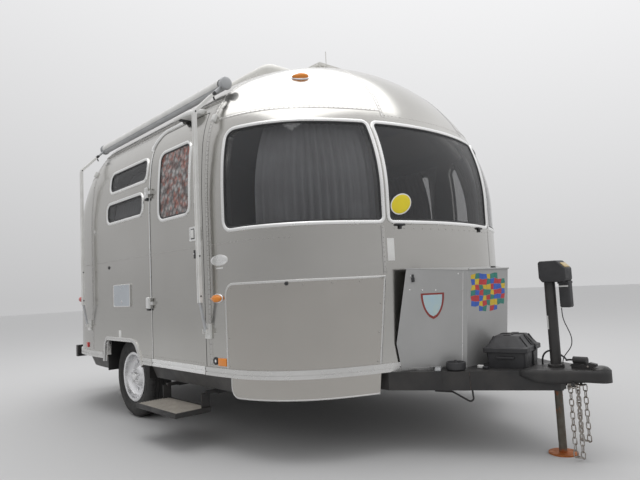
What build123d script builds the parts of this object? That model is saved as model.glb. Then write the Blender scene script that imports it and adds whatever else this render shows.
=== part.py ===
from build123d import *
import math
import os

os.makedirs("parts", exist_ok=True)

# Travel caravan, single axle, standing on its wheels and its front jack.
# Millimetres. +X runs forward to the coupler, +Y is the street side, +Z is up.
# The origin is the centre of the jack's foot on the ground.

# Body shell
BODY_LENGTH = 3890
BODY_WIDTH = 2438
JACK_TO_BODY = 606
BELT_Z = 1500
SHELL_BOTTOM = 480
WALL = 45
SIDE_R = 3400
SIDE_TURN = 6.5
CORNER_R = 658
CORNER_TURN = 61.2
SEAT = 0.3
PANEL_GAP = 0.6
CLEAR = 12

# Panel seams
FRONT_CAP_LAP = 156
REAR_CAP_LAP = 110
ROOF_SEAM_Z = 2170

# Door
DOOR_JAMB = 58
DOOR_WIDTH = 727
DOOR_TOP_Z = 2120
DOOR_CORNER_R = 110
DOOR_GAP = 6
DOOR_EDGE_SLOPE = 0.25
DOOR_HINGE_OUT = 17
HINGE_PIN_R = 5
KNUCKLE_R = 10
HINGE_LENGTH = 74
HINGE_LEAF = 48
HINGE_THICK = 4
HINGE_HEIGHTS = (897, 1695)
LATCH_Z = 1330
LATCH_HEIGHT = 90
LATCH_WIDTH = 80
LATCH_FROM_EDGE = 45
LATCH_PROUD = 20

# Door window
DOOR_WINDOW_REAR_MARGIN = 150
DOOR_WINDOW_FRONT_MARGIN = 160
DOOR_WINDOW_LOW_Z = 1480
DOOR_WINDOW_HIGH_Z = 1950

# Windows
WINDOW_GLASS = 6
GLASS_INSET = 1
FRAME_PROUD = 9
FRAME_LAP = 22
FRAME_INNER = 14
WINDOW_CORNER_R = 55
CENTRE_CORNER_R = 25
FRONT_WINDOW_LOW_Z = 1325
FRONT_WINDOW_HIGH_Z = 1930
CENTRE_HALF = 515
MULLION = 50
WRAP_SETBACK = 774
REAR_WINDOW_HALF = 480
REAR_WINDOW_LOW_Z = 1400
REAR_WINDOW_HIGH_Z = 1900
REAR_CORNER_R = 60

# Side windows: name, rear edge and front edge behind the nose, low z, high z, corner radius, side
SIDE_WINDOWS = [
    ("curb_upper", 2482, 1811, 1812, 1963, 50, -1),
    ("curb_lower", 2522, 1866, 1562, 1708, 50, -1),
    ("street_galley", 1694, 1014, 1480, 1930, 55, 1),
    ("street_bed", 2814, 2294, 1480, 1930, 55, 1),
]

# Floor, rail, guards and skirt
FLOOR_THICK = 25
RAIL_DROP = 25
RAIL_HEIGHT = 50
RAIL_PROUD = 12
RAIL_GROOVE_Z = 20
RAIL_GROOVE = 6
GUARD_PROUD = 6
GUARD_SETBACK = 788
GUARD_TOP_Z = 1003
GUARD_EDGE_TOP_Y = 567
GUARD_EDGE_FOOT_Y = 640
GUARD_CORNER_R = 70
APRON_SETBACK = 756
APRON_DROP = 112
APRON_CORNER_R = 60
BELLY_INSET = 60
BELLY_DEPTH = 110
BELLY_TAPER = 22
SHEET = 4

# Wheels and axle
AXLE_SETBACK = 2328
TYRE_R = 315
TYRE_WIDTH = 200
TYRE_SHOULDER_R = 38
TYRE_INSET = 94
RIM_R = 190
RIM_WALL = 12
RIM_STEP = 10
DISC_OUT = 40
DISC_THICK = 26
DISC_HOLES = 8
DISC_HOLE_R = 14
DISC_HOLE_RING = 118
HUB_R = 45
HUB_IN = 64
HUB_OUT = 86
ARCH_REAR = 300
ARCH_FRONT = 400
ARCH_TOP_Z = 604
ARCH_REAR_LEAN = 25
ARCH_SLOPE = 118
ARCH_TRIM = 28
WELL_TOP_Z = 720
WELL_WIDTH = 349
WELL_REAR_ROOM = 60
WELL_FRONT_ROOM = 20
AXLE_TUBE = 76
AXLE_LEAD = 145
AXLE_ARM_THICK = 30
AXLE_ARM_HEIGHT = 60
SPINDLE_R = 22
SPINDLE_PAST_CENTRE = 59

# Chassis
BEAM_HEIGHT = 102
BEAM_WIDTH = 52
BEAM_ANGLE = 33
BEAM_FRONT_X = 60
BEAM_FRONT_Y = 92
MAIN_RAIL_Y = 560
RAIL_END_FROM_TAIL = 230
FRONT_CROSS_SETBACK = 260
MIDDLE_CROSS_AHEAD = 800
TRAY_FRONT_X = -110
TRAY_REAR_X = -600
GUSSET_X = -385
GUSSET_LENGTH = 120
GUSSET_THICK = 5

# Coupler
COUPLER_REACH = 284
COUPLER_NOSE_R = 50
COUPLER_BOTTOM_Z = 400
COUPLER_HALF = 46
HOUSING_HEIGHT = 50
BALL_R = 26
BALL_DEPTH = 40
TOP_PLATE_REAR_X = -108
TOP_PLATE_THICK = 6
LATCH_REAR_X = 88
LATCH_FRONT_X = 215
LATCH_STEP_X = 172

# Jack
JACK_TUBE_R = 28.5
JACK_LEG_R = 21
JACK_BORE_GAP = 0.3
JACK_FOOT_R = 75
JACK_FOOT_THICK = 8
JACK_TUBE_TOP = 920
JACK_TUBE_BOTTOM = 335
JACK_LEG_TOP = 600
JACK_HEAD_TOP = 1038
JACK_HEAD_LENGTH = 150
JACK_HEAD_WIDTH = 90
JACK_HEAD_X = 35
JACK_HEAD_SLOPE = 45
MOTOR_LENGTH = 60
MOTOR_WIDTH = 50
MOTOR_X = 80
MOTOR_Y = 15
MOTOR_BOTTOM = 781

# Safety chains
LINK_LENGTH = 44
LINK_WIDTH = 26
LINK_ROD = 6
LINK_BITE = 0.5
CHAIN_X = 127
CHAIN_TOP_Z = 375

# Chains: name, y, links down each strand
CHAINS = [("curbside", -88, 11), ("middle", 0, 9)]

# Locker and battery
LOCKER_FRONT_X = -370
LOCKER_LEAN = 50
LOCKER_HALF_FRONT = 222
LOCKER_SIDE_SLOPE = 1.15
LOCKER_REAR_TOP_X = -606
LOCKER_REAR_FOOT_X = -700
LOCKER_TOP_Z = 1010
LOCKER_LID_RISE = 0.102
LID_OVERHANG = 2
LID_ROLL_R = 5
BATTERY_X = -247
BATTERY_Y = -12
BATTERY_TURN = 13
BATTERY_WIDTH = 215
BATTERY_LENGTH = 290
BATTERY_BASE = 85
BATTERY_LID_LAP = 15
BATTERY_LID_EDGE = 28
BATTERY_LID_RISE = 62
BATTERY_LID_SLOPE = 32

# Awning
ARM_SETBACK = 969
ARM_SPAN = 2000
ARM_OUT = 21
ARM_ELBOW_OUT = 56
ARM_WIDTH = 32
ARM_DEPTH = 22
ARM_PIN_R = 5
ARM_PIVOT_Z = 720
ARM_ELBOW_Z = 905
ARM_KNEE_Z = 2085
ROLLER_R = 40
ROLLER_CAP = 4
ROLLER_CAP_LENGTH = 28
ROLLER_TURN = 44.5
ROLLER_STAND = 52
BRACKET_HALF = 30
BRACKET_HEIGHT = 90

# Step
STEP_LENGTH = 560
STEP_DEPTH = 250
STEP_OUT = 175
STEP_Z = 235
STEP_THICK = 22
STEP_ARM_INSET = 20
STEP_RUNNER_Y = 760
RUNNER_HALF = 12
RUNNER_HEIGHT = 20
GUIDE_WALL = 5
GUIDE_FRONT_IN = 129
GUIDE_LENGTH = 670

# Bumper
BUMPER_GAP = 47
BUMPER_THICK = 50
BUMPER_HALF = 1000
BUMPER_LOW_Z = 365
BUMPER_HIGH_Z = 478

# Roof pieces
AIRCON_SETBACK = 1954
AIRCON_LENGTH = 980
AIRCON_WIDTH = 620
AIRCON_HEIGHT = 215
AIRCON_CORNER_R = 110
AIRCON_EDGE_R = 60
VENT_SETBACK = 1150
VENT_SIZE = 380
VENT_HEIGHT = 55
STACK_SETBACK = 2950
STACK_Y = 420
STACK_R = 45
STACK_HEIGHT = 75
ANTENNA_SETBACK = 914
ANTENNA_Y = -165
ANTENNA_R = 3
ANTENNA_HEIGHT = 125

# Trim over the door
EYEBROW_PROUD = 14
EYEBROW_WIDTH = 22
EYEBROW_FOOT_Z = 2022
HOOD_REAR_FROM_DOOR = 343
HOOD_LENGTH = 280
HOOD_HEIGHT = 52
HOOD_OUT = 52

# Hatches on flat wall: rear edge and front edge behind the nose, low z, high z, side
HATCH_PROUD = 8
HATCHES = [
    (2414, 2099, 875, 1050, -1),
    (2234, 1774, 800, 1080, 1),
    (1544, 1184, 660, 960, 1),
    (2850, 2740, 720, 820, 1),
]
REAR_HATCH_HALF = 350
REAR_HATCH_LOW_Z = 640
REAR_HATCH_HIGH_Z = 980

# Lamps, each on both sides: end, plan turn, lift, z, length, height, proud, edge slope
LAMPS = [
    ("front", 3.9, 0, 917, 110, 52, 30, 30),
    ("front", 4.6, 0, 540, 80, 46, 10, 20),
    ("front", 66.4, 57.1, 0, 110, 52, 30, 30),
    ("rear", 18.9, 0, 946, 110, 52, 30, 30),
    ("rear", 4.6, 0, 546, 56, 44, 8, 20),
    ("rear", 52, 0, 690, 150, 230, 24, 20),
    ("rear", 66.4, 57.1, 0, 110, 52, 30, 30),
]

# Cords, in the order their points run
TOW_CABLE_D = 10
TOW_CABLE_ROUTE = [
    (-98, 42, 461.3), (-98, 42, 492), (-87, 45, 522), (-61, 51, 540), (-28, 57, 536), (2, 60, 517),
    (27, 55, 502), (42, 36, 495), (52, 12, 497), (73, -1, 503.3), (98, -1, 503.3),
]
PLUG_R = 19
PLUG_LENGTH = 70
JACK_WIRE_D = 5
JACK_WIRE_ROUTE = [
    (58, -4, 780.7), (58, -4, 752), (62, -6, 724), (72, -8, 696), (86, -11, 668), (99, -14, 640),
    (106, -18, 612), (104, -22, 584), (92, -27, 560), (76, -32, 540), (62, -37, 518), (56, -40, 492),
    (56, -40, 461.3),
]

# Worked out from the sizes above
half_width = BODY_WIDTH / 2
nose_x = -JACK_TO_BODY
tail_x = nose_x - BODY_LENGTH
far = half_width + 200
big = BODY_LENGTH * 2


def turn_point(radius, degrees):
    return radius * math.cos(math.radians(degrees)), radius * math.sin(math.radians(degrees))


side_centre = (half_width - SIDE_R, 0)
side_end = tuple(c + d for c, d in zip(side_centre, turn_point(SIDE_R, SIDE_TURN)))
corner_centre = tuple(c - d for c, d in zip(side_end, turn_point(CORNER_R, SIDE_TURN)))
corner_end = tuple(c + d for c, d in zip(corner_centre, turn_point(CORNER_R, CORNER_TURN)))
crown_r = corner_end[0] / math.cos(math.radians(CORNER_TURN))
crown_centre = (0, corner_end[1] - crown_r * math.sin(math.radians(CORNER_TURN)))
rise = crown_centre[1] + crown_r
roof_z = BELT_Z + rise
front_spring = nose_x - rise
rear_spring = tail_x + rise
front_seam = front_spring + FRONT_CAP_LAP
rear_seam = rear_spring - REAR_CAP_LAP
floor_bottom = SHELL_BOTTOM - FLOOR_THICK
rail_bottom = SHELL_BOTTOM - RAIL_DROP
rail_top = rail_bottom + RAIL_HEIGHT
belly_bottom = floor_bottom - BELLY_DEPTH
axle_x = nose_x - AXLE_SETBACK
tyre_y = half_width - TYRE_INSET - TYRE_WIDTH / 2
well_inner = half_width - WELL_WIDTH

# The half section: centre across, centre up, radius, start angle, sweep
PROFILE = [
    (side_centre[0], 0, SIDE_R, 0, SIDE_TURN),
    (corner_centre[0], corner_centre[1], CORNER_R, SIDE_TURN, CORNER_TURN - SIDE_TURN),
    (0, crown_centre[1], crown_r, CORNER_TURN, 180 - 2 * CORNER_TURN),
    (-corner_centre[0], corner_centre[1], CORNER_R, 180 - CORNER_TURN, CORNER_TURN - SIDE_TURN),
    (-side_centre[0], 0, SIDE_R, 180 - SIDE_TURN, SIDE_TURN),
]


def section_point(turn):
    """A point across and up the half section, at the angle its surface faces."""
    if turn <= SIDE_TURN:
        centre, radius = side_centre, SIDE_R
    elif turn <= CORNER_TURN:
        centre, radius = corner_centre, CORNER_R
    else:
        centre, radius = crown_centre, crown_r
    return tuple(c + d for c, d in zip(centre, turn_point(radius, turn)))


def section_face(grow, x):
    """The body's cross-section above the belt, grown outward, standing at x."""
    with BuildSketch(Plane(origin=(x, 0, BELT_Z), x_dir=(0, 1, 0), z_dir=(1, 0, 0))) as face:
        with BuildLine():
            for across, up, radius, start, sweep in PROFILE:
                CenterArc((across, up), radius + grow, start, sweep)
            Line((-half_width - grow, 0), (half_width + grow, 0))
        make_face()
    return face.sketch


def plan_face(grow, z):
    """The body's plan outline, grown outward, lying at z."""
    with BuildSketch(Plane.XY.offset(z)) as face:
        with BuildLine():
            for across, up, radius, start, sweep in PROFILE:
                CenterArc((front_spring + up, across), radius + grow, 90 - start, -sweep)
                CenterArc((rear_spring - up, across), radius + grow, 90 + start, sweep)
            for side in (1, -1):
                y = side * (half_width + grow)
                Line((rear_spring, y), (front_spring, y))
        make_face()
    return face.sketch


def body_form(grow, bottom=SHELL_BOTTOM):
    """The whole outside form of the body, grown outward: straight middle and two turned caps."""
    with BuildPart() as form:
        add(plan_face(grow, bottom))
        extrude(amount=BELT_Z - bottom)
        extrude(section_face(grow, rear_spring), amount=front_spring - rear_spring, dir=(1, 0, 0))
        add(section_face(grow, front_spring))
        revolve(axis=Axis((front_spring, 0, BELT_Z), (0, 1, 0)), revolution_arc=90)
        add(section_face(grow, rear_spring))
        revolve(axis=Axis((rear_spring, 0, BELT_Z), (0, -1, 0)), revolution_arc=90)
    return form.part


def plan_ring(proud, sunk, z0, z1):
    """A band round the foot of the body, from one growth of its outline to another."""
    with BuildPart() as ring:
        add(plan_face(proud, z0))
        extrude(amount=z1 - z0)
        add(plan_face(sunk, z0))
        extrude(amount=z1 - z0, mode=Mode.SUBTRACT)
    return ring.part


def block(x0, x1, y0, y1, z0, z1):
    """A plain box between two corners."""
    with BuildPart() as piece:
        with Locations(((x0 + x1) / 2, (y0 + y1) / 2, (z0 + z1) / 2)):
            Box(x1 - x0, abs(y1 - y0), z1 - z0)
    return piece.part


def side_block(x0, x1, z0, z1, radius, y0, y1):
    """A rounded rectangle seen from the side, run across the body from y0 to y1."""
    with BuildPart() as piece:
        with BuildSketch(Plane(origin=(0, y1, 0), x_dir=(1, 0, 0), z_dir=(0, -1, 0))):
            with Locations(((x0 + x1) / 2, (z0 + z1) / 2)):
                RectangleRounded(x1 - x0, z1 - z0, radius)
        extrude(amount=y1 - y0)
    return piece.part


def front_block(y0, y1, z0, z1, radius, x0, x1):
    """A rounded rectangle seen from the front, run along the body from x0 to x1."""
    with BuildPart() as piece:
        with BuildSketch(Plane(origin=(x0, 0, 0), x_dir=(0, 1, 0), z_dir=(1, 0, 0))):
            with Locations(((y0 + y1) / 2, (z0 + z1) / 2)):
                RectangleRounded(y1 - y0, z1 - z0, radius)
        extrude(amount=x1 - x0)
    return piece.part


def side_polygon(points, y0, y1):
    """A polygon in (x, z) run across the body from y0 to y1."""
    with BuildPart() as piece:
        with BuildSketch(Plane(origin=(0, y1, 0), x_dir=(1, 0, 0), z_dir=(0, -1, 0))):
            with BuildLine():
                Polyline(*points, close=True)
            make_face()
        extrude(amount=y1 - y0)
    return piece.part


def front_polygon(points, x0, x1):
    """A polygon in (y, z) run along the body from x0 to x1."""
    with BuildPart() as piece:
        with BuildSketch(Plane(origin=(x0, 0, 0), x_dir=(0, 1, 0), z_dir=(1, 0, 0))):
            with BuildLine():
                Polyline(*points, close=True)
            make_face()
        extrude(amount=x1 - x0)
    return piece.part


def plan_polygon(points, z0, z1):
    """A polygon in (x, y) run up from z0 to z1."""
    with BuildPart() as piece:
        with BuildSketch(Plane.XY.offset(z0)):
            with BuildLine():
                Polyline(*points, close=True)
            make_face()
        extrude(amount=z1 - z0)
    return piece.part


def save(part, name):
    part.label = name
    export_step(part, f"parts/{name}.step")


outer = body_form(0)
inner = body_form(-WALL, SHELL_BOTTOM - 1)
seat = body_form(SEAT, floor_bottom - 1)


def window_blocks(grow):
    """The blocks that cut every window, each side grown by the same amount."""
    z0 = FRONT_WINDOW_LOW_Z - grow
    z1 = FRONT_WINDOW_HIGH_Z + grow
    wrap_y = CENTRE_HALF + MULLION - grow
    wrap_x = nose_x - WRAP_SETBACK - grow
    corner = WINDOW_CORNER_R + grow
    centre = CENTRE_HALF + grow
    blocks = {
        "front_centre": front_block(-centre, centre, z0, z1, CENTRE_CORNER_R + grow, front_spring + rise / 4, 0),
        "front_curb": side_block(wrap_x, -nose_x, z0, z1, corner, -far, -wrap_y),
        "front_street": side_block(wrap_x, -nose_x, z0, z1, corner, wrap_y, far),
    }
    for name, rear, front, low, high, radius, side in SIDE_WINDOWS:
        y0, y1 = sorted((side * far, side * half_width / 2))
        blocks[name] = side_block(
            nose_x - rear - grow, nose_x - front + grow, low - grow, high + grow, radius + grow, y0, y1)
    half = REAR_WINDOW_HALF + grow
    blocks["rear"] = front_block(
        -half, half, REAR_WINDOW_LOW_Z - grow, REAR_WINDOW_HIGH_Z + grow, REAR_CORNER_R + grow,
        tail_x - WALL, rear_spring - rise / 4)
    return blocks


cut_blocks = window_blocks(0)
glass_blocks = window_blocks(-GLASS_INSET)
lap_blocks = window_blocks(FRAME_LAP)
inner_blocks = window_blocks(-FRAME_INNER)

# The doorway, seen from the side and in plan
door_front = front_seam - DOOR_JAMB
door_rear = door_front - DOOR_WIDTH


def door_block(grow):
    """The door's outline; its front edge leans back inward so that it swings clear of its jamb."""
    side = side_block(door_rear - grow, door_front + grow + DOOR_JAMB, 0, DOOR_TOP_Z + grow,
                      DOOR_CORNER_R, -far, -half_width / 2)
    edge = door_front + grow
    past = edge + 2 * DOOR_JAMB
    wedge = plan_polygon(
        [
            (edge + DOOR_EDGE_SLOPE * (far - half_width), -far),
            (edge - DOOR_EDGE_SLOPE * half_width / 2, -half_width / 2),
            (past, -half_width / 2),
            (past, -far),
        ],
        0,
        DOOR_TOP_Z + far,
    )
    low = block(door_rear - far, past, -far, 0, 0, SHELL_BOTTOM + DOOR_GAP - grow)
    return side - wedge - low


def door_window(grow):
    """The block that cuts the door's window, each side grown by the same amount."""
    return side_block(
        door_rear + DOOR_WINDOW_REAR_MARGIN - grow, door_front - DOOR_WINDOW_FRONT_MARGIN + grow,
        DOOR_WINDOW_LOW_Z - grow, DOOR_WINDOW_HIGH_Z + grow, WINDOW_CORNER_R + grow, -far, 0)


doorway = door_block(DOOR_GAP)
door_outline = door_block(0)

# Wheel arches: rear foot, rear top, front top and front foot in (x, z)
arch_foot_z = SHELL_BOTTOM - 2 * RAIL_DROP
arch_points = [
    (axle_x - ARCH_REAR, arch_foot_z),
    (axle_x - ARCH_REAR + ARCH_REAR_LEAN, ARCH_TOP_Z),
    (axle_x + ARCH_FRONT - ARCH_SLOPE, ARCH_TOP_Z),
    (axle_x + ARCH_FRONT, arch_foot_z),
]
arch_cut = side_polygon(arch_points, -far, far)
well_x0 = axle_x - ARCH_REAR - WELL_REAR_ROOM
well_x1 = axle_x + ARCH_FRONT + WELL_FRONT_ROOM


def well_cuts():
    """The room of both wheel wells, out through the sides."""
    return [
        block(well_x0 - SEAT, well_x1 + SEAT, side * (well_inner - SEAT), side * far, 0, BELT_Z)
        for side in (1, -1)
    ]


# Shell panels
shell = outer - inner - arch_cut
for name in cut_blocks:
    shell = shell - cut_blocks[name]
gap = PANEL_GAP / 2
with BuildPart() as front_cap:
    add(shell & block(front_seam + gap, 0, -big, big, 0, big))
save(front_cap.part, "front_cap")

with BuildPart() as rear_cap:
    add(shell & block(-big, rear_seam - gap, -big, big, 0, big))
save(rear_cap.part, "rear_cap")

with BuildPart() as roof_panel:
    add(shell & block(rear_seam + gap, front_seam - gap, -big, big, ROOF_SEAM_Z + gap, big))
save(roof_panel.part, "roof_panel")

walls = shell & block(rear_seam + gap, front_seam - gap, -big, big, 0, ROOF_SEAM_Z - gap)
with BuildPart() as curbside_wall:
    add(walls & block(-big, big, -big, 0, 0, big))
    add(doorway, mode=Mode.SUBTRACT)
save(curbside_wall.part, "curbside_wall")

with BuildPart() as streetside_wall:
    add(walls & block(-big, big, 0, big, 0, big))
save(streetside_wall.part, "streetside_wall")

with BuildPart() as door_panel:
    add((outer - inner) & door_outline)
    add(door_window(0), mode=Mode.SUBTRACT)
save(door_panel.part, "door_panel")

# Floor, with notches for the wheel wells
with BuildPart() as floor:
    add(plan_face(0, floor_bottom))
    extrude(amount=FLOOR_THICK)
    for cut in well_cuts():
        add(cut, mode=Mode.SUBTRACT)
save(floor.part, "floor")

# Wheel wells: a liner over each tyre, open below and outward
with BuildPart() as wheel_wells:
    for side in (1, -1):
        liner = block(well_x0, well_x1, side * well_inner, side * (half_width - WALL - SEAT), belly_bottom, WELL_TOP_Z)
        room = block(well_x0 + SHEET, well_x1 - SHEET, side * (well_inner + SHEET), side * far, 0, WELL_TOP_Z - SHEET)
        add(liner - room)
save(wheel_wells.part, "wheel_wells")

# Guides under the floor that hold the step's two runners
step_x = (door_front + door_rear) / 2
runner_z = belly_bottom - GUIDE_WALL - RUNNER_HEIGHT / 2 - 2
step_y = -half_width - STEP_OUT
step_arm_xs = (step_x - STEP_LENGTH / 2 + STEP_ARM_INSET, step_x + STEP_LENGTH / 2 - STEP_ARM_INSET)
guide_y0 = -half_width + GUIDE_FRONT_IN
guide_low = runner_z - RUNNER_HEIGHT / 2 - GUIDE_WALL - 2
slide_y = guide_y0 + GUIDE_LENGTH
room = 0.3
with BuildPart() as step_guides:
    for x in step_arm_xs:
        add(block(x - RUNNER_HALF - GUIDE_WALL, x + RUNNER_HALF + GUIDE_WALL, guide_y0, slide_y, guide_low,
                  belly_bottom - SEAT))
        add(block(x - RUNNER_HALF - room, x + RUNNER_HALF + room, guide_y0 - far, slide_y + far,
                  runner_z - RUNNER_HEIGHT / 2 - room, runner_z + RUNNER_HEIGHT / 2 + room), mode=Mode.SUBTRACT)
        add(block(x - RUNNER_HALF * 0.75, x + RUNNER_HALF * 0.75, guide_y0 - far, slide_y + far, 0, runner_z),
            mode=Mode.SUBTRACT)

# Chassis: two main rails, two beams that run forward to the coupler, and what ties them
beam_top = floor_bottom
beam_bottom = beam_top - BEAM_HEIGHT
beam_slope = math.tan(math.radians(BEAM_ANGLE))
beam_across = BEAM_WIDTH / math.cos(math.radians(BEAM_ANGLE))
rail_out = MAIN_RAIL_Y + BEAM_WIDTH / 2
rail_in = MAIN_RAIL_Y - BEAM_WIDTH / 2
rail_end_x = tail_x + RAIL_END_FROM_TAIL


def beam_outer_y(x):
    """Outer edge of an A-frame beam at x."""
    return BEAM_FRONT_Y + (BEAM_FRONT_X - x) * beam_slope


def beam_inner_y(x):
    """Inner edge of an A-frame beam at x."""
    return beam_outer_y(x) - beam_across


meet_out_x = BEAM_FRONT_X - (rail_out - BEAM_FRONT_Y) / beam_slope
meet_in_x = BEAM_FRONT_X - (rail_in - BEAM_FRONT_Y + beam_across) / beam_slope
cross_xs = (nose_x - FRONT_CROSS_SETBACK, axle_x + MIDDLE_CROSS_AHEAD, rail_end_x)
with BuildPart() as chassis:
    for side in (1, -1):
        beam = [
            (BEAM_FRONT_X, side * BEAM_FRONT_Y),
            (meet_out_x, side * rail_out),
            (meet_in_x, side * rail_in),
            (BEAM_FRONT_X, side * (BEAM_FRONT_Y - beam_across)),
        ]
        add(plan_polygon(beam, beam_bottom, beam_top))
        rail = [
            (meet_out_x - SEAT, side * rail_out),
            (rail_end_x, side * rail_out),
            (rail_end_x, side * rail_in),
            (meet_in_x - SEAT, side * rail_in),
        ]
        add(plan_polygon(rail, beam_bottom, beam_top))
        g0 = GUSSET_X - GUSSET_LENGTH / 2
        g1 = GUSSET_X + GUSSET_LENGTH / 2
        off = SEAT * 2
        gusset = [
            (g1, side * (beam_outer_y(g1) + off)),
            (g0, side * (beam_outer_y(g0) + off)),
            (g0, side * (beam_outer_y(g0) + off + GUSSET_THICK)),
            (g1, side * (beam_outer_y(g1) + off + GUSSET_THICK)),
        ]
        add(plan_polygon(gusset, beam_bottom, beam_top))
    for x in cross_xs:
        add(block(x, x + BEAM_WIDTH, -rail_in + SEAT, rail_in - SEAT, beam_bottom, beam_top))
    tray = [
        (TRAY_FRONT_X, beam_inner_y(TRAY_FRONT_X) - 2 * SEAT),
        (TRAY_REAR_X, beam_inner_y(TRAY_REAR_X) - 2 * SEAT),
        (TRAY_REAR_X, -beam_inner_y(TRAY_REAR_X) + 2 * SEAT),
        (TRAY_FRONT_X, -beam_inner_y(TRAY_FRONT_X) + 2 * SEAT),
    ]
    add(plan_polygon(tray, beam_top - SHEET, beam_top))
    add(step_guides.part)
save(chassis.part, "chassis")

# Belly pan: sheets that close the underside, split where the real sheets lap
corner_x = front_spring + side_end[1]
corner_rear_x = rear_spring - side_end[1]
crown_y = corner_end[0]
pan_floor_z = belly_bottom + SHEET
with BuildPart() as belly_pan:
    add(plan_face(-BELLY_INSET, floor_bottom))
    extrude(amount=-BELLY_DEPTH, taper=BELLY_TAPER)
    add(plan_face(-BELLY_INSET - SHEET, floor_bottom))
    extrude(amount=-BELLY_DEPTH + SHEET, taper=BELLY_TAPER, mode=Mode.SUBTRACT)
    for cut in well_cuts():
        add(cut, mode=Mode.SUBTRACT)
    add(block(-big, big, -big, big, pan_floor_z, pan_floor_z + SEAT), mode=Mode.SUBTRACT)
    for x in (well_x0 - SEAT, well_x1, corner_x, corner_rear_x):
        add(block(x, x + SEAT, -big, big, 0, BELT_Z), mode=Mode.SUBTRACT)
    for side in (1, -1):
        y0, y1 = sorted((side * crown_y, side * (crown_y + SEAT)))
        add(block(corner_x, 0, y0, y1, pan_floor_z, BELT_Z), mode=Mode.SUBTRACT)
        add(block(-big, corner_rear_x, y0, y1, pan_floor_z, BELT_Z), mode=Mode.SUBTRACT)
        passage = [
            (0, side * (beam_outer_y(0) + SHEET)),
            (meet_out_x, side * (rail_out + SHEET)),
            (cross_xs[0], side * (rail_out + SHEET)),
            (cross_xs[0], side * (rail_in - BEAM_WIDTH)),
            (0, side * (beam_inner_y(0) - BEAM_WIDTH)),
        ]
        add(plan_polygon(passage, pan_floor_z, BELT_Z), mode=Mode.SUBTRACT)
        add(block(-big, rail_end_x, side * (rail_in - 2), side * (rail_out + 2), beam_bottom - 2, BELT_Z),
            mode=Mode.SUBTRACT)
save(belly_pan.part, "belly_pan")

# Rub rail round the foot of the shell, broken at the wheels and the door
rail_band = plan_ring(RAIL_PROUD, SEAT, rail_bottom, rail_top)
groove_z = rail_bottom + RAIL_GROOVE_Z
rail_band = rail_band - plan_ring(RAIL_PROUD + 1, RAIL_PROUD / 2, groove_z, groove_z + RAIL_GROOVE)
with BuildPart() as rub_rail:
    add(rail_band)
    add(block(arch_points[0][0] - ARCH_TRIM - 2, arch_points[3][0] + ARCH_TRIM + 2, -far, far, 0, BELT_Z),
        mode=Mode.SUBTRACT)
    add(block(door_rear - DOOR_GAP, door_front + DOOR_GAP, -far, 0, 0, BELT_Z), mode=Mode.SUBTRACT)
save(rub_rail.part, "rub_rail")

# Wheel arch trims
arch_grown = side_polygon(
    [
        (arch_points[0][0] - ARCH_TRIM, rail_bottom),
        (arch_points[1][0] - ARCH_TRIM, ARCH_TOP_Z + ARCH_TRIM),
        (arch_points[2][0] + ARCH_TRIM / 2, ARCH_TOP_Z + ARCH_TRIM),
        (arch_points[3][0] + ARCH_TRIM, rail_bottom),
    ],
    -far, far)
with BuildPart() as arch_trims:
    add((plan_ring(RAIL_PROUD, SEAT, rail_bottom, ARCH_TOP_Z + ARCH_TRIM) & arch_grown) - arch_cut)
save(arch_trims.part, "arch_trims")

# Rock guards over the front corners, and the aprons that hang below the rail there
guard_x = nose_x - GUARD_SETBACK
apron_x = nose_x - APRON_SETBACK
apron_low = rail_bottom - APRON_DROP
guard_ring = plan_ring(GUARD_PROUD, SEAT, rail_top + SEAT, GUARD_TOP_Z)
apron_ring = plan_ring(SHEET, -SHEET / 2, apron_low, rail_bottom - SEAT)
with BuildPart() as rock_guards:
    for side in (1, -1):
        edge = [
            (side * GUARD_EDGE_FOOT_Y, apron_low),
            (side * GUARD_EDGE_TOP_Y, GUARD_TOP_Z),
            (side * far, GUARD_TOP_Z),
            (side * far, apron_low),
        ]
        y0, y1 = sorted((0, side * far))
        upper = side_block(guard_x, -nose_x, rail_top - GUARD_CORNER_R, GUARD_TOP_Z, GUARD_CORNER_R, y0, y1)
        lower = side_block(apron_x, -nose_x, apron_low, rail_top, APRON_CORNER_R, y0, y1)
        add(guard_ring & front_polygon(edge, front_spring, 0) & upper)
        add(apron_ring & front_polygon(edge, front_spring, 0) & lower)
save(rock_guards.part, "rock_guards")

# Window glass and frames
glass_form = body_form(-GLASS_INSET) - body_form(-GLASS_INSET - WINDOW_GLASS)
frame_form = body_form(FRAME_PROUD) - seat
front_names = ("front_centre", "front_curb", "front_street")
with BuildPart() as window_glass:
    for name in glass_blocks:
        add(glass_form & glass_blocks[name])
save(window_glass.part, "window_glass")
with BuildPart() as window_frames:
    for name in front_names:
        add(frame_form & lap_blocks[name])
    for name in front_names:
        add(inner_blocks[name], mode=Mode.SUBTRACT)
    for name in lap_blocks:
        if name not in front_names:
            add((frame_form & lap_blocks[name]) - inner_blocks[name])
save(window_frames.part, "window_frames")

with BuildPart() as door_glass:
    add(glass_form & door_window(-GLASS_INSET))
save(door_glass.part, "door_glass")

# Door trim: the frame of its window and its own length of rub rail
with BuildPart() as door_trim:
    add((frame_form & door_window(FRAME_LAP)) - door_window(-FRAME_INNER))
    add(rail_band & block(door_rear, door_front, -far, 0, 0, BELT_Z))
save(door_trim.part, "door_trim")

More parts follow.
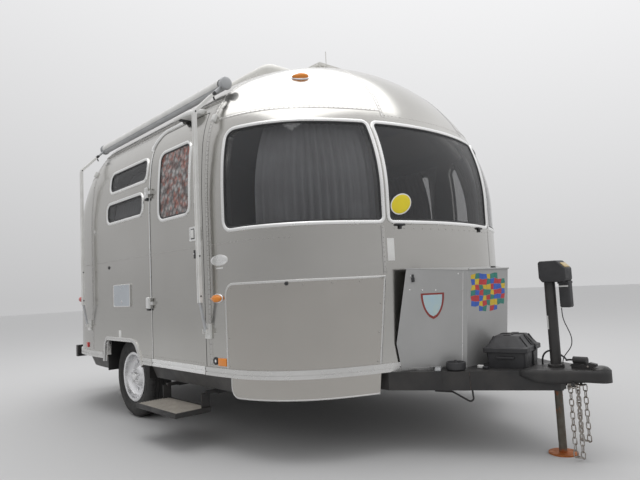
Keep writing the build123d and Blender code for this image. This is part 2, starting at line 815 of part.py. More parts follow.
# Door hinges: knuckles on pins outside the wall
hinge_x = door_rear - DOOR_GAP / 2
hinge_y = -half_width - DOOR_HINGE_OUT
leaf_y0 = hinge_y - HINGE_THICK / 2
leaf_y1 = -half_width + WALL
third = HINGE_LENGTH / 3
with BuildPart() as door_hinges:
    for z in HINGE_HEIGHTS:
        with Locations((hinge_x, hinge_y, z)):
            Cylinder(HINGE_PIN_R, HINGE_LENGTH)
        for low in (z - HINGE_LENGTH / 2, z + third / 2):
            with Locations((hinge_x, hinge_y, low)):
                Cylinder(KNUCKLE_R, third, align=(Align.CENTER, Align.CENTER, Align.MIN))
            add(block(hinge_x - HINGE_LEAF, hinge_x, leaf_y0, leaf_y1, low, low + third) - seat)
save(door_hinges.part, "door_hinges")
latch_front = door_front - LATCH_FROM_EDGE
latch_plate = block(latch_front - LATCH_WIDTH, latch_front, -half_width - LATCH_PROUD, -half_width,
                    LATCH_Z - LATCH_HEIGHT / 2, LATCH_Z + LATCH_HEIGHT / 2)
with BuildPart() as door_hardware:
    for z in HINGE_HEIGHTS:
        with Locations((hinge_x, hinge_y, z)):
            Cylinder(KNUCKLE_R, third - 1)
        leaf = block(hinge_x, hinge_x + HINGE_LEAF, leaf_y0, leaf_y1, z - third / 2 + 0.5, z + third / 2 - 0.5)
        add(leaf - seat)
        with Locations((hinge_x, hinge_y, z)):
            Cylinder(HINGE_PIN_R + SEAT, HINGE_LENGTH, mode=Mode.SUBTRACT)
    add(latch_plate - seat)
save(door_hardware.part, "door_hardware")

# Drip moulding over the door and the porch lamp's hood
brow_low = DOOR_TOP_Z + DOOR_GAP + RAIL_PROUD
brow_form = body_form(EYEBROW_PROUD) - seat
brow_grow = brow_low - DOOR_TOP_Z
hood_x0 = door_rear + HOOD_REAR_FROM_DOOR
hood_y = -half_width + EYEBROW_WIDTH
with BuildPart() as entry_trim:
    reach = brow_grow + EYEBROW_WIDTH
    brow = side_block(door_rear - reach, door_front + reach, 0, DOOR_TOP_Z + reach, DOOR_CORNER_R + reach, -far, 0)
    brow = brow - side_block(door_rear - brow_grow, door_front + brow_grow, -1, brow_low,
                             DOOR_CORNER_R + brow_grow, -far, 0)
    brow = brow & block(door_rear - far, hood_x0 - SEAT, -far, 0, EYEBROW_FOOT_Z, ROOF_SEAM_Z)
    add(brow & brow_form)
    hood = side_block(hood_x0, hood_x0 + HOOD_LENGTH, brow_low, brow_low + HOOD_HEIGHT, HOOD_HEIGHT * 0.4,
                      -half_width + HOOD_OUT / 2, -half_width / 2)
    add(hood - seat)
save(entry_trim.part, "entry_trim")

# Hatches and vents on the walls
hatch_ring = plan_ring(HATCH_PROUD, SEAT, rail_top, BELT_Z)
with BuildPart() as wall_hatches:
    for rear, front, low, high, side in HATCHES:
        y0, y1 = sorted((side * half_width / 2, side * far))
        add(hatch_ring & side_block(nose_x - rear, nose_x - front, low, high, HATCH_PROUD, y0, y1))
    add(hatch_ring & front_block(-REAR_HATCH_HALF, REAR_HATCH_HALF, REAR_HATCH_LOW_Z, REAR_HATCH_HIGH_Z,
                                 2 * HATCH_PROUD, tail_x - WALL, rear_spring))
save(wall_hatches.part, "wall_hatches")

# Lamps: tapered pads seated on the skin, the same on both sides
with BuildPart() as lamps:
    for end, turn, lift, low, length, height, proud, slope in LAMPS:
        across, up = section_point(turn)
        n_across, n_up = turn_point(1, turn)
        level, climb = turn_point(1, lift)
        way, spring = (1, front_spring) if end == "front" else (-1, rear_spring)
        z = BELT_Z + up * climb if lift else low
        for side in (1, -1):
            normal = Vector(way * n_up * level, side * n_across, n_up * climb)
            along = Vector(-normal.Y, normal.X, 0).normalized()
            base = Plane(origin=(spring + way * up * level, side * across, z), x_dir=along, z_dir=normal)
            with BuildPart(mode=Mode.PRIVATE) as lamp:
                with BuildSketch(base):
                    RectangleRounded(length, height, height * 0.3)
                extrude(amount=proud, taper=slope)
                with BuildSketch(base):
                    RectangleRounded(length, height, height * 0.3)
                extrude(amount=-proud)
            add(lamp.part - seat)
save(lamps.part, "lamps")

# Axle: a square tube under the floor with a trailing arm and spindle at each end
axle_top = belly_bottom - SEAT
arm_inner = well_inner - AXLE_ARM_THICK - WELL_FRONT_ROOM
tube_x = axle_x + AXLE_LEAD
spindle_end = tyre_y + SPINDLE_PAST_CENTRE
with BuildPart() as axle:
    add(block(tube_x - AXLE_TUBE / 2, tube_x + AXLE_TUBE / 2, -arm_inner, arm_inner, axle_top - AXLE_TUBE, axle_top))
    for side in (1, -1):
        add(block(axle_x - AXLE_TUBE / 2, tube_x + AXLE_TUBE / 2, side * arm_inner, side * (arm_inner + AXLE_ARM_THICK),
                  TYRE_R - AXLE_ARM_HEIGHT / 2, TYRE_R + AXLE_ARM_HEIGHT / 3))
        length = spindle_end - arm_inner
        with Locations((axle_x, side * (arm_inner + length / 2), TYRE_R)):
            Cylinder(SPINDLE_R, length, rotation=(90, 0, 0))
        add(block(tube_x - AXLE_TUBE, tube_x + AXLE_TUBE, side * (MAIN_RAIL_Y - WELL_FRONT_ROOM),
                  side * (MAIN_RAIL_Y + WELL_FRONT_ROOM), axle_top - AXLE_TUBE / 4, axle_top))
save(axle.part, "axle")

# Wheels
for name, side in (("left", 1), ("right", -1)):
    middle_y = side * tyre_y
    with BuildPart() as tyre:
        with BuildSketch(Plane(origin=(axle_x, middle_y, TYRE_R), x_dir=(1, 0, 0), z_dir=(0, side, 0))):
            Circle(TYRE_R)
            Circle(RIM_R, mode=Mode.SUBTRACT)
        extrude(amount=TYRE_WIDTH / 2, both=True)
        fillet(tyre.edges().filter_by(GeomType.CIRCLE).sort_by(lambda e: e.radius)[-2:], TYRE_SHOULDER_R)
    save(tyre.part, f"tyre_{name}")
    hub_length = HUB_IN + HUB_OUT
    bore_length = SPINDLE_PAST_CENTRE + HUB_IN + HUB_R
    with BuildPart() as rim:
        with Locations((axle_x, middle_y, TYRE_R)):
            Cylinder(RIM_R - SEAT, TYRE_WIDTH - 2 * RIM_STEP, rotation=(90, 0, 0))
            Cylinder(RIM_R - RIM_WALL, TYRE_WIDTH, rotation=(90, 0, 0), mode=Mode.SUBTRACT)
        with Locations((axle_x, middle_y + side * DISC_OUT, TYRE_R)):
            Cylinder(RIM_R - RIM_WALL / 2, DISC_THICK, rotation=(90, 0, 0))
        with BuildSketch(Plane(origin=(axle_x, middle_y, TYRE_R), x_dir=(1, 0, 0), z_dir=(0, side, 0))):
            with PolarLocations(DISC_HOLE_RING, DISC_HOLES):
                Circle(DISC_HOLE_R)
        extrude(amount=TYRE_WIDTH, mode=Mode.SUBTRACT)
        with Locations((axle_x, middle_y + side * (HUB_OUT - HUB_IN) / 2, TYRE_R)):
            Cylinder(HUB_R, hub_length, rotation=(90, 0, 0))
        bore_end = SPINDLE_PAST_CENTRE + SEAT
        with Locations((axle_x, middle_y + side * (bore_end - bore_length / 2), TYRE_R)):
            Cylinder(SPINDLE_R + SEAT, bore_length, rotation=(90, 0, 0), mode=Mode.SUBTRACT)
    save(rim.part, f"rim_{name}")

# Coupler with its ball socket, its latch and the bar that holds the chains
ball_x = COUPLER_REACH - COUPLER_NOSE_R
plate_top = beam_top + TOP_PLATE_THICK
latch_z = plate_top + LINK_WIDTH - SHEET
chain_ys = [y for _, y, _ in CHAINS]
with BuildPart() as coupler:
    wide = beam_outer_y(TOP_PLATE_REAR_X)
    narrow = JACK_TUBE_R * 2
    plate = [
        (TOP_PLATE_REAR_X, wide), (ball_x - COUPLER_NOSE_R, narrow), (ball_x, COUPLER_NOSE_R),
        (ball_x, -COUPLER_NOSE_R), (ball_x - COUPLER_NOSE_R, -narrow), (TOP_PLATE_REAR_X, -wide),
    ]
    add(plan_polygon(plate, beam_top + SEAT, plate_top))
    add(block(BEAM_FRONT_X + 1, ball_x, -COUPLER_HALF, COUPLER_HALF, COUPLER_BOTTOM_Z, beam_top + 1))
    with Locations((ball_x, 0, COUPLER_BOTTOM_Z)):
        Cylinder(COUPLER_HALF, HOUSING_HEIGHT, align=(Align.CENTER, Align.CENTER, Align.MIN))
        Cylinder(COUPLER_NOSE_R, TOP_PLATE_THICK, align=(Align.CENTER, Align.CENTER, Align.MIN))
    latch = [
        (LATCH_REAR_X, plate_top - 1), (LATCH_REAR_X, latch_z), (LATCH_STEP_X, latch_z),
        (LATCH_STEP_X + 8, latch_z + 12), (LATCH_FRONT_X, latch_z + 6), (LATCH_FRONT_X, plate_top - 1),
    ]
    add(side_polygon(latch, -14, 14))
    lug_half = (LINK_WIDTH - 2 * LINK_ROD) / 2 - SEAT
    add(block(CHAIN_X - 4, CHAIN_X + 4, min(chain_ys) - lug_half, max(chain_ys) + lug_half,
              COUPLER_BOTTOM_Z - 8, COUPLER_BOTTOM_Z + 4))
    for y in chain_ys:
        add(block(CHAIN_X - 4, CHAIN_X + 4, y - lug_half, y + lug_half, CHAIN_TOP_Z - LINK_ROD, COUPLER_BOTTOM_Z))
    with Locations((ball_x, 0, COUPLER_BOTTOM_Z)):
        Cylinder(BALL_R, BALL_DEPTH, align=(Align.CENTER, Align.CENTER, Align.MIN), mode=Mode.SUBTRACT)
    with Locations((0, 0, beam_top)):
        Cylinder(JACK_TUBE_R + SEAT, BEAM_HEIGHT, mode=Mode.SUBTRACT)
save(coupler.part, "coupler")


def eight_sides(length, width):
    """Corners of a rectangle with cut corners, for a chain link."""
    a, b, c = length / 2, width / 2, width * 0.3
    return [(a, b - c), (a - c, b), (c - a, b), (-a, b - c), (-a, c - b), (c - a, -b), (a - c, -b), (a, c - b)]


def chain_link(centre, along, flat):
    """One chain link: a flat eight-sided ring lying along one direction and facing another."""
    with BuildPart() as ring:
        with BuildSketch(Plane(origin=centre, x_dir=along, z_dir=flat)):
            Polygon(*eight_sides(LINK_LENGTH, LINK_WIDTH), align=None)
            Polygon(*eight_sides(LINK_LENGTH - 2 * LINK_ROD, LINK_WIDTH - 2 * LINK_ROD), align=None,
                    mode=Mode.SUBTRACT)
        extrude(amount=LINK_ROD / 2, both=True)
    return ring.part


# Safety chains: each hangs doubled from the coupler, two strands and a link across the foot
link_pitch = LINK_LENGTH - 2 * LINK_ROD + LINK_BITE
strand_x = (LINK_LENGTH - LINK_ROD) / 2
bar_step = LINK_ROD - LINK_BITE
with BuildPart() as safety_chains:
    for _, y, count in CHAINS:
        links = []
        for way in (-1, 1):
            for i in range(count):
                z = CHAIN_TOP_Z + bar_step - strand_x - i * link_pitch
                flat = (0, 1, 0) if i % 2 == 0 else (1, 0, 0)
                links.append(chain_link((CHAIN_X + way * strand_x, y, z), (0, 0, 1), flat))
        foot_z = z - strand_x + bar_step
        for z in (CHAIN_TOP_Z, foot_z):
            links.append(chain_link((CHAIN_X, y, z), (1, 0, 0), (0, 0, 1)))
        add(links)
save(safety_chains.part, "safety_chains")

# Jack: a fixed tube with its drive head, and a leg that slides in it
upward = (Align.CENTER, Align.CENTER, Align.MIN)
with BuildPart() as jack_tube:
    with Locations((0, 0, JACK_TUBE_BOTTOM)):
        Cylinder(JACK_TUBE_R, JACK_TUBE_TOP - JACK_TUBE_BOTTOM, align=upward)
        Cylinder(JACK_LEG_R + JACK_BORE_GAP, JACK_TUBE_TOP - JACK_TUBE_BOTTOM - 10, align=upward, mode=Mode.SUBTRACT)
save(jack_tube.part, "jack_tube")
with BuildPart() as jack_head:
    with Locations((JACK_HEAD_X, 0, (JACK_TUBE_TOP + JACK_HEAD_TOP) / 2)):
        Box(JACK_HEAD_LENGTH, JACK_HEAD_WIDTH, JACK_HEAD_TOP - JACK_TUBE_TOP)
    front_top = jack_head.edges().filter_by(Axis.Y).group_by(Axis.Z)[-1].sort_by(Axis.X)[-1]
    chamfer(front_top, JACK_HEAD_SLOPE)
    fillet(jack_head.edges(), 8)
    with Locations((MOTOR_X, MOTOR_Y, MOTOR_BOTTOM)):
        Box(MOTOR_LENGTH, MOTOR_WIDTH, JACK_TUBE_TOP - MOTOR_BOTTOM + 10, align=upward)
save(jack_head.part, "jack_head")
with BuildPart() as jack_leg:
    Cylinder(JACK_FOOT_R, JACK_FOOT_THICK, align=upward)
    Cylinder(JACK_LEG_R, JACK_LEG_TOP, align=upward)
save(jack_leg.part, "jack_leg")

# Locker: a sheet shroud on the A-frame, open behind, with a lid hinged on its front edge
locker_foot = beam_top + SEAT
above = LOCKER_TOP_Z + far
behind = LOCKER_REAR_FOOT_X - far


def locker_plan(inset, back_x):
    """Half hexagon in plan, pulled in by the sheet's thickness."""
    front = LOCKER_FRONT_X - inset
    half = LOCKER_HALF_FRONT - inset * 0.65
    back_y = half + (front - back_x) * LOCKER_SIDE_SLOPE
    return [(front, half), (back_x, back_y), (back_x, -back_y), (front, -half)]


def lid_top(x):
    """Height of the locker's top edge at x, rising toward the rear."""
    return LOCKER_TOP_Z + (LOCKER_FRONT_X - x) * LOCKER_LID_RISE


def leaning_form(inset, back_x, z0, z1):
    """The locker's plan carried from one height to another, its front leaning back toward the foot."""
    with BuildPart() as form:
        for z in (z0, z1):
            drawn_back = LOCKER_LEAN * (LOCKER_TOP_Z - z) / (LOCKER_TOP_Z - locker_foot)
            with BuildSketch(Plane.XY.offset(z)):
                Polygon(*[(x - drawn_back, y) for x, y in locker_plan(inset, back_x)], align=None)
        loft(ruled=True)
    return form.part


locker_clear = body_form(CLEAR, floor_bottom - 1)
with BuildPart() as locker_body:
    locker_back, locker_peak = LOCKER_REAR_FOOT_X - 60, LOCKER_TOP_Z + 60
    add(leaning_form(0, locker_back, locker_foot, locker_peak))
    add(leaning_form(SHEET, locker_back - 60, locker_foot - 10, locker_peak + 10), mode=Mode.SUBTRACT)
    ahead = LOCKER_FRONT_X + LOCKER_LEAN
    add(side_polygon([(ahead, lid_top(ahead)), (behind - 1, lid_top(behind - 1)), (behind - 1, above + 1),
                      (ahead, above + 1)], -big, big), mode=Mode.SUBTRACT)
    rear_lean = (LOCKER_REAR_TOP_X - LOCKER_REAR_FOOT_X) / (LOCKER_TOP_Z - locker_foot)
    rear_foot = LOCKER_REAR_FOOT_X - rear_lean * locker_foot
    add(side_polygon([(rear_foot, 0), (rear_foot + rear_lean * above, above), (behind - 1, above), (behind - 1, 0)],
                     -big, big), mode=Mode.SUBTRACT)
    add(locker_clear, mode=Mode.SUBTRACT)
save(locker_body.part, "locker_body")
lid_hinge = (LOCKER_FRONT_X + LID_ROLL_R, LOCKER_TOP_Z + LID_ROLL_R + 1)
with BuildPart() as locker_lid:
    add(plan_polygon(locker_plan(-LID_OVERHANG, LOCKER_REAR_TOP_X), LOCKER_TOP_Z - far, above))
    lid_front = LOCKER_FRONT_X + LID_OVERHANG + 1
    slab = [
        (lid_front, lid_top(lid_front) + SEAT), (behind, lid_top(behind) + SEAT),
        (behind, lid_top(behind) + SHEET), (lid_front, lid_top(lid_front) + SHEET),
    ]
    add(side_polygon(slab, -big, big), mode=Mode.INTERSECT)
    add(locker_clear, mode=Mode.SUBTRACT)
    with Locations((lid_hinge[0], 0, lid_hinge[1])):
        Cylinder(LID_ROLL_R, 2 * LOCKER_HALF_FRONT, rotation=(90, 0, 0))
save(locker_lid.part, "locker_lid")

# Battery box: a plain base under a lid with a deep edge and sloping sides
battery_plane = Plane(origin=(BATTERY_X, BATTERY_Y, beam_top + SEAT), x_dir=(*turn_point(1, BATTERY_TURN), 0),
                      z_dir=(0, 0, 1))
with BuildPart() as battery_box:
    with BuildSketch(battery_plane):
        RectangleRounded(BATTERY_WIDTH, BATTERY_LENGTH, BATTERY_LID_LAP)
    extrude(amount=BATTERY_BASE)
    with BuildSketch(battery_plane.offset(BATTERY_BASE)):
        RectangleRounded(BATTERY_WIDTH + 2 * BATTERY_LID_LAP, BATTERY_LENGTH + 2 * BATTERY_LID_LAP, BATTERY_LID_LAP)
    extrude(amount=BATTERY_LID_EDGE)
    with BuildSketch(battery_plane.offset(BATTERY_BASE + BATTERY_LID_EDGE)):
        RectangleRounded(BATTERY_WIDTH, BATTERY_LENGTH, BATTERY_LID_LAP)
    extrude(amount=BATTERY_LID_RISE, taper=BATTERY_LID_SLOPE)
save(battery_box.part, "battery_box")

# Awning: two arms hinged on the wall and the roller they carry
arm_xs = (nose_x - ARM_SETBACK, nose_x - ARM_SETBACK - ARM_SPAN)
arm_y = -half_width - ARM_OUT
elbow_y = -half_width - ARM_ELBOW_OUT
roller_out = tuple(c + d for c, d in zip(corner_centre, turn_point(CORNER_R + ROLLER_STAND, ROLLER_TURN)))
roller_y = -roller_out[0]
roller_z = BELT_Z + roller_out[1]
arm_path = [(arm_y, ARM_PIVOT_Z), (elbow_y, ARM_ELBOW_Z), (elbow_y, ARM_KNEE_Z), (roller_y, roller_z)]
with BuildPart() as awning_arms:
    for x in arm_xs:
        with BuildSketch(Plane(origin=(x - ARM_WIDTH / 2, 0, 0), x_dir=(0, 1, 0), z_dir=(1, 0, 0))):
            for (y0, z0), (y1, z1) in zip(arm_path, arm_path[1:]):
                span = math.hypot(y1 - y0, z1 - z0)
                turn = math.degrees(math.atan2(z1 - z0, y1 - y0))
                with Locations(((y0 + y1) / 2, (z0 + z1) / 2)):
                    SlotCenterToCenter(span, ARM_DEPTH, rotation=turn)
            with Locations((roller_y, roller_z)):
                Circle(ROLLER_R - ROLLER_CAP)
        extrude(amount=ARM_WIDTH)
        with Locations((x, arm_y, ARM_PIVOT_Z)):
            Cylinder(ARM_PIN_R + SEAT, ARM_WIDTH + 2, rotation=(0, 90, 0), mode=Mode.SUBTRACT)
save(awning_arms.part, "awning_arms")
with BuildPart() as awning_roller:
    with Locations(((arm_xs[0] + arm_xs[1]) / 2, roller_y, roller_z)):
        Cylinder(ROLLER_R, ARM_SPAN - ARM_WIDTH - 2 * SEAT, rotation=(0, 90, 0))
    for x, way in ((arm_xs[0], 1), (arm_xs[1], -1)):
        with Locations((x + way * (ARM_WIDTH / 2 + SEAT + ROLLER_CAP_LENGTH / 2), roller_y, roller_z)):
            Cylinder(ROLLER_R + ROLLER_CAP, ROLLER_CAP_LENGTH, rotation=(0, 90, 0))
save(awning_roller.part, "awning_roller")
plate_y = arm_y + ARM_DEPTH / 2 + 1
with BuildPart() as awning_brackets:
    for x in arm_xs:
        plate = block(x - BRACKET_HALF, x + BRACKET_HALF, plate_y, -half_width + BRACKET_HALF,
                      ARM_PIVOT_Z - BRACKET_HEIGHT / 2, ARM_PIVOT_Z + BRACKET_HEIGHT / 2)
        add(plate - seat)
        for way in (1, -1):
            x0, x1 = sorted((x + way * (ARM_WIDTH / 2 + 1), x + way * (ARM_WIDTH / 2 + 6)))
            add(block(x0, x1, arm_y - ARM_DEPTH / 2 - 1, plate_y + 1,
                      ARM_PIVOT_Z - ARM_DEPTH * 0.6, ARM_PIVOT_Z + ARM_DEPTH * 0.6))
        with Locations((x, arm_y, ARM_PIVOT_Z)):
            Cylinder(ARM_PIN_R, ARM_WIDTH + 12, rotation=(0, 90, 0))
save(awning_brackets.part, "awning_brackets")

# Step that slides out from under the door
with BuildPart() as step:
    tread_back = step_y + STEP_DEPTH
    add(block(step_x - STEP_LENGTH / 2, step_x + STEP_LENGTH / 2, step_y, tread_back, STEP_Z - STEP_THICK, STEP_Z))
    for x in step_arm_xs:
        add(block(x - RUNNER_HALF, x + RUNNER_HALF, tread_back - 30, -STEP_RUNNER_Y, runner_z - RUNNER_HEIGHT / 2,
                  runner_z + RUNNER_HEIGHT / 2))
        add(block(x - 4, x + 4, tread_back - 60, tread_back, STEP_Z - STEP_THICK, runner_z))
save(step.part, "step")

# Bumper on the rear rails: the bar and its two brackets
with BuildPart() as bumper:
    bumper_x = tail_x - BUMPER_GAP
    add(block(bumper_x - BUMPER_THICK, bumper_x, -BUMPER_HALF, BUMPER_HALF, BUMPER_LOW_Z, BUMPER_HIGH_Z))
    for side in (1, -1):
        add(block(bumper_x + SEAT, rail_end_x - SEAT, side * rail_in, side * rail_out, beam_bottom, beam_top - SEAT))
save(bumper.part, "bumper")

# Roof air conditioner
with BuildPart() as roof_aircon:
    with Locations((nose_x - AIRCON_SETBACK, 0, roof_z - WALL)):
        Box(AIRCON_LENGTH, AIRCON_WIDTH, AIRCON_HEIGHT + WALL, align=upward)
    fillet(roof_aircon.edges().filter_by(Axis.Z), AIRCON_CORNER_R)
    fillet(roof_aircon.faces().sort_by(Axis.Z)[-1].edges(), AIRCON_EDGE_R)
    add(seat, mode=Mode.SUBTRACT)
save(roof_aircon.part, "roof_aircon")

# Roof vent, drain stack and antenna
with BuildPart() as roof_fittings:
    with Locations((nose_x - VENT_SETBACK, 0, roof_z - WALL)):
        Box(VENT_SIZE, VENT_SIZE, VENT_HEIGHT + WALL, align=upward)
    with Locations((nose_x - STACK_SETBACK, STACK_Y, roof_z - 2 * WALL)):
        Cylinder(STACK_R, STACK_HEIGHT + 2 * WALL, align=upward)
    with Locations((nose_x - ANTENNA_SETBACK, ANTENNA_Y, roof_z - WALL)):
        Cylinder(ANTENNA_R * 5, WALL + ANTENNA_R * 4, align=upward)
        Cylinder(ANTENNA_R, WALL + ANTENNA_HEIGHT, align=upward)
    add(seat, mode=Mode.SUBTRACT)
save(roof_fittings.part, "roof_fittings")


def cord_tube(points, diameter):
    """Straight runs joined by tangent arcs, each as large as its two runs allow."""
    corners = [Vector(*p) for p in points]
    runs = [b - a for a, b in zip(corners, corners[1:])]
    radii = []
    for before, after in zip(runs, runs[1:]):
        half_turn = math.radians(before.get_angle(after) / 2)
        radii.append(0.45 * min(before.length, after.length) / math.tan(half_turn))
    print("cord radii", [round(r) for r in radii])
    with BuildPart() as tube:
        with BuildLine() as path:
            FilletPolyline(*points, radius=radii)
        with BuildSketch(Plane(origin=points[0], z_dir=runs[0])):
            Circle(diameter / 2)
        sweep(path=path.wire())
    length = path.wire().length
    whole = length * math.pi * diameter**2 / 4
    print("cord length", round(length), "volume over section times length", round(tube.part.volume / whole, 4))
    return tube.part


# Tow cable from its gland on the tray round the jack to its plug on the latch lever
with BuildPart() as tow_plug:
    plug_x, plug_y, plug_z = TOW_CABLE_ROUTE[-1]
    with Locations((plug_x + SEAT + PLUG_LENGTH / 2, plug_y, plug_z)):
        Cylinder(PLUG_R, PLUG_LENGTH, rotation=(0, 90, 0))
save(tow_plug.part, "tow_plug")
save(cord_tube(TOW_CABLE_ROUTE, TOW_CABLE_D), "tow_cable")

# Wire from the jack's motor down to the coupler's top plate
save(cord_tube(JACK_WIRE_ROUTE, JACK_WIRE_D), "jack_wire")
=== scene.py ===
import math

import bmesh
import bpy
import numpy as np
from mathutils import Matrix, Vector


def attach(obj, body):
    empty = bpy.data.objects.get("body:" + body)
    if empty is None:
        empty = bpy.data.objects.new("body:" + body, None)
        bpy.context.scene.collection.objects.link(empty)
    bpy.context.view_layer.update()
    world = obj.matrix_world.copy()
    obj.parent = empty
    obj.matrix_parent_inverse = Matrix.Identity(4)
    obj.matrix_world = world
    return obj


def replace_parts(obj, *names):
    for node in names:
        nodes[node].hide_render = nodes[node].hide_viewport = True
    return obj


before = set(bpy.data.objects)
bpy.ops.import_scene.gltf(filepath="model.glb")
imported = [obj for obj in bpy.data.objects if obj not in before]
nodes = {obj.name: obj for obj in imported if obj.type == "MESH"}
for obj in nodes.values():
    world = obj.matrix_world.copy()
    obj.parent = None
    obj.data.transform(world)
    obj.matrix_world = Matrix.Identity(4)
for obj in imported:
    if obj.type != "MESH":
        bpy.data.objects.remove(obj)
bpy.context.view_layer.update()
print("frame loaded:", len(nodes), "nodes")

# camera solved from the photograph: place in metres, turns in degrees
photoCamera = {
    "place": (1.455, -3.011, 0.962), "yaw": 137.828, "pitch": 4.696, "roll": -2.821,
    "focalPixels": 558.475, "imageWidth": 640,
}


def placeCamera(view):
    yaw, pitch, roll = (math.radians(view[k]) for k in ("yaw", "pitch", "roll"))
    ahead = Vector((math.cos(yaw) * math.cos(pitch), math.sin(yaw) * math.cos(pitch), math.sin(pitch)))
    level = ahead.cross(Vector((0, 0, 1))).normalized()
    upright = level.cross(ahead)
    right = math.cos(roll) * level + math.sin(roll) * upright
    above = -math.sin(roll) * level + math.cos(roll) * upright
    data = bpy.data.cameras.new("photo_camera")
    data.sensor_width = 36
    data.lens = view["focalPixels"] * data.sensor_width / view["imageWidth"]
    data.clip_end = 200
    camera = bpy.data.objects.new("photo_camera", data)
    bpy.context.collection.objects.link(camera)
    turn = Matrix((right, above, -ahead)).transposed()
    camera.matrix_world = Matrix.Translation(view["place"]) @ turn.to_4x4()
    bpy.context.scene.camera = camera


placeCamera(photoCamera)

# the body's half section: a flat arc up the side, a tight corner and a broad crown, as in the CAD
bodyForm = {
    "halfWidth": 1.219, "belt": 1.5, "foot": 0.48, "nose": -0.606, "tail": -4.496,
    "sideRadius": 3.4, "sideTurn": 6.5, "cornerRadius": 0.658, "cornerTurn": 61.2,
    "frontLap": 0.156, "rearLap": 0.11, "roofSeam": 2.17,
}
halfWidth, belt = bodyForm["halfWidth"], bodyForm["belt"]
sideRadius, cornerRadius = bodyForm["sideRadius"], bodyForm["cornerRadius"]
sideTurn, cornerTurn = math.radians(bodyForm["sideTurn"]), math.radians(bodyForm["cornerTurn"])
sideAcross = halfWidth - sideRadius
sideEndUp = sideRadius * math.sin(sideTurn)
cornerAcross = sideAcross + (sideRadius - cornerRadius) * math.cos(sideTurn)
cornerUp = (sideRadius - cornerRadius) * math.sin(sideTurn)
cornerEndAcross = cornerAcross + cornerRadius * math.cos(cornerTurn)
cornerEndUp = cornerUp + cornerRadius * math.sin(cornerTurn)
crownRadius = cornerEndAcross / math.cos(cornerTurn)
crownUp = cornerEndUp - crownRadius * math.sin(cornerTurn)
sectionRise = crownUp + crownRadius
frontSpring = bodyForm["nose"] - sectionRise
rearSpring = bodyForm["tail"] + sectionRise
frontSeam = frontSpring + bodyForm["frontLap"]
rearSeam = rearSpring - bodyForm["rearLap"]
sideEndAcross = sideAcross + sideRadius * math.cos(sideTurn)


# half width of the section at a rise above its spring line, and the sine of the way its surface faces up
def widthAt(rise):
    rise = np.clip(np.asarray(rise, float), 0, sectionRise)
    onSide, onCorner = rise <= sideEndUp, rise <= cornerEndUp
    radius = np.where(onSide, sideRadius, np.where(onCorner, cornerRadius, crownRadius))
    centre = np.where(onSide, 0, np.where(onCorner, cornerUp, crownUp))
    across = np.where(onSide, sideAcross, np.where(onCorner, cornerAcross, 0))
    sine = np.clip((rise - centre) / radius, 0, 1)
    return across + radius * np.sqrt(1 - sine**2), sine


# rise of the section at a distance from the centre plane, and the same sine
def riseAt(across):
    across = np.abs(np.asarray(across, float))
    onCrown, onCorner = across <= cornerEndAcross, across <= sideEndAcross
    radius = np.where(onCrown, crownRadius, np.where(onCorner, cornerRadius, sideRadius))
    middle = np.where(onCrown, 0, np.where(onCorner, cornerAcross, sideAcross))
    centre = np.where(onCrown, crownUp, np.where(onCorner, cornerUp, 0))
    cosine = np.clip((across - middle) / radius, 0, 1)
    sine = np.sqrt(1 - cosine**2)
    return centre + radius * sine, sine


# how far a place lies past its cap's spring line: negative at the rear, 0 between the caps
def pastSpring(x):
    return np.where(x > frontSpring, x - frontSpring, np.where(x < rearSpring, x - rearSpring, 0))


# the skin seen from the side: y from (x, z); the caps are the section turned about its spring line
def sideSkin(x, z, side, proud=0.0):
    x, z = np.broadcast_arrays(np.asarray(x, float), np.asarray(z, float))
    along = pastSpring(x)
    above = np.maximum(z - belt, 0)
    rise = np.hypot(along, above)
    across, sine = widthAt(rise)
    safe = np.maximum(rise, 1e-9)
    normal = np.stack([sine * along / safe, side * np.sqrt(1 - sine**2), sine * above / safe], -1)
    return np.stack([x, side * across, z], -1) + normal * proud, normal


# the skin seen from an end: x from (y, z); way is 1 for the front and -1 for the rear
def endSkin(y, z, way, proud=0.0):
    y, z = np.broadcast_arrays(np.asarray(y, float), np.asarray(z, float))
    rise, sine = riseAt(y)
    above = np.minimum(np.maximum(z - belt, 0), rise)
    along = np.sqrt(np.maximum(rise**2 - above**2, 0))
    spring = frontSpring if way > 0 else rearSpring
    normal = np.stack([way * sine * along / rise, np.sign(y) * np.sqrt(1 - sine**2), sine * above / rise], -1)
    return np.stack([spring + way * along, y, z], -1) + normal * proud, normal


# the skin over the roof: z from (x, y)
def roofSkin(x, y, proud=0.0):
    x, y = np.broadcast_arrays(np.asarray(x, float), np.asarray(y, float))
    rise, sine = riseAt(y)
    along = pastSpring(x)
    along = np.clip(along, -rise, rise)
    above = np.sqrt(np.maximum(rise**2 - along**2, 0))
    normal = np.stack([sine * along / rise, np.sign(y) * np.sqrt(1 - sine**2), sine * above / rise], -1)
    return np.stack([x, y, belt + above], -1) + normal * proud, normal


# faces of a grid of nu by nv points, closed round either way
def gridFaces(nu, nv, closeU=False, closeV=False):
    u = np.arange(nu if closeU else nu - 1)
    v = np.arange(nv if closeV else nv - 1)
    uu, vv = np.meshgrid(u, v, indexing="ij")
    u2, v2 = (uu + 1) % nu, (vv + 1) % nv
    return np.stack([uu * nv + vv, u2 * nv + vv, u2 * nv + v2, uu * nv + v2], -1).reshape(-1, 4)


def gridShape(points, closeU=False, closeV=False):
    nu, nv = points.shape[:2]
    return points.reshape(-1, 3), gridFaces(nu, nv, closeU, closeV)


def unitRows(vectors):
    return vectors / np.linalg.norm(vectors, axis=-1, keepdims=True)


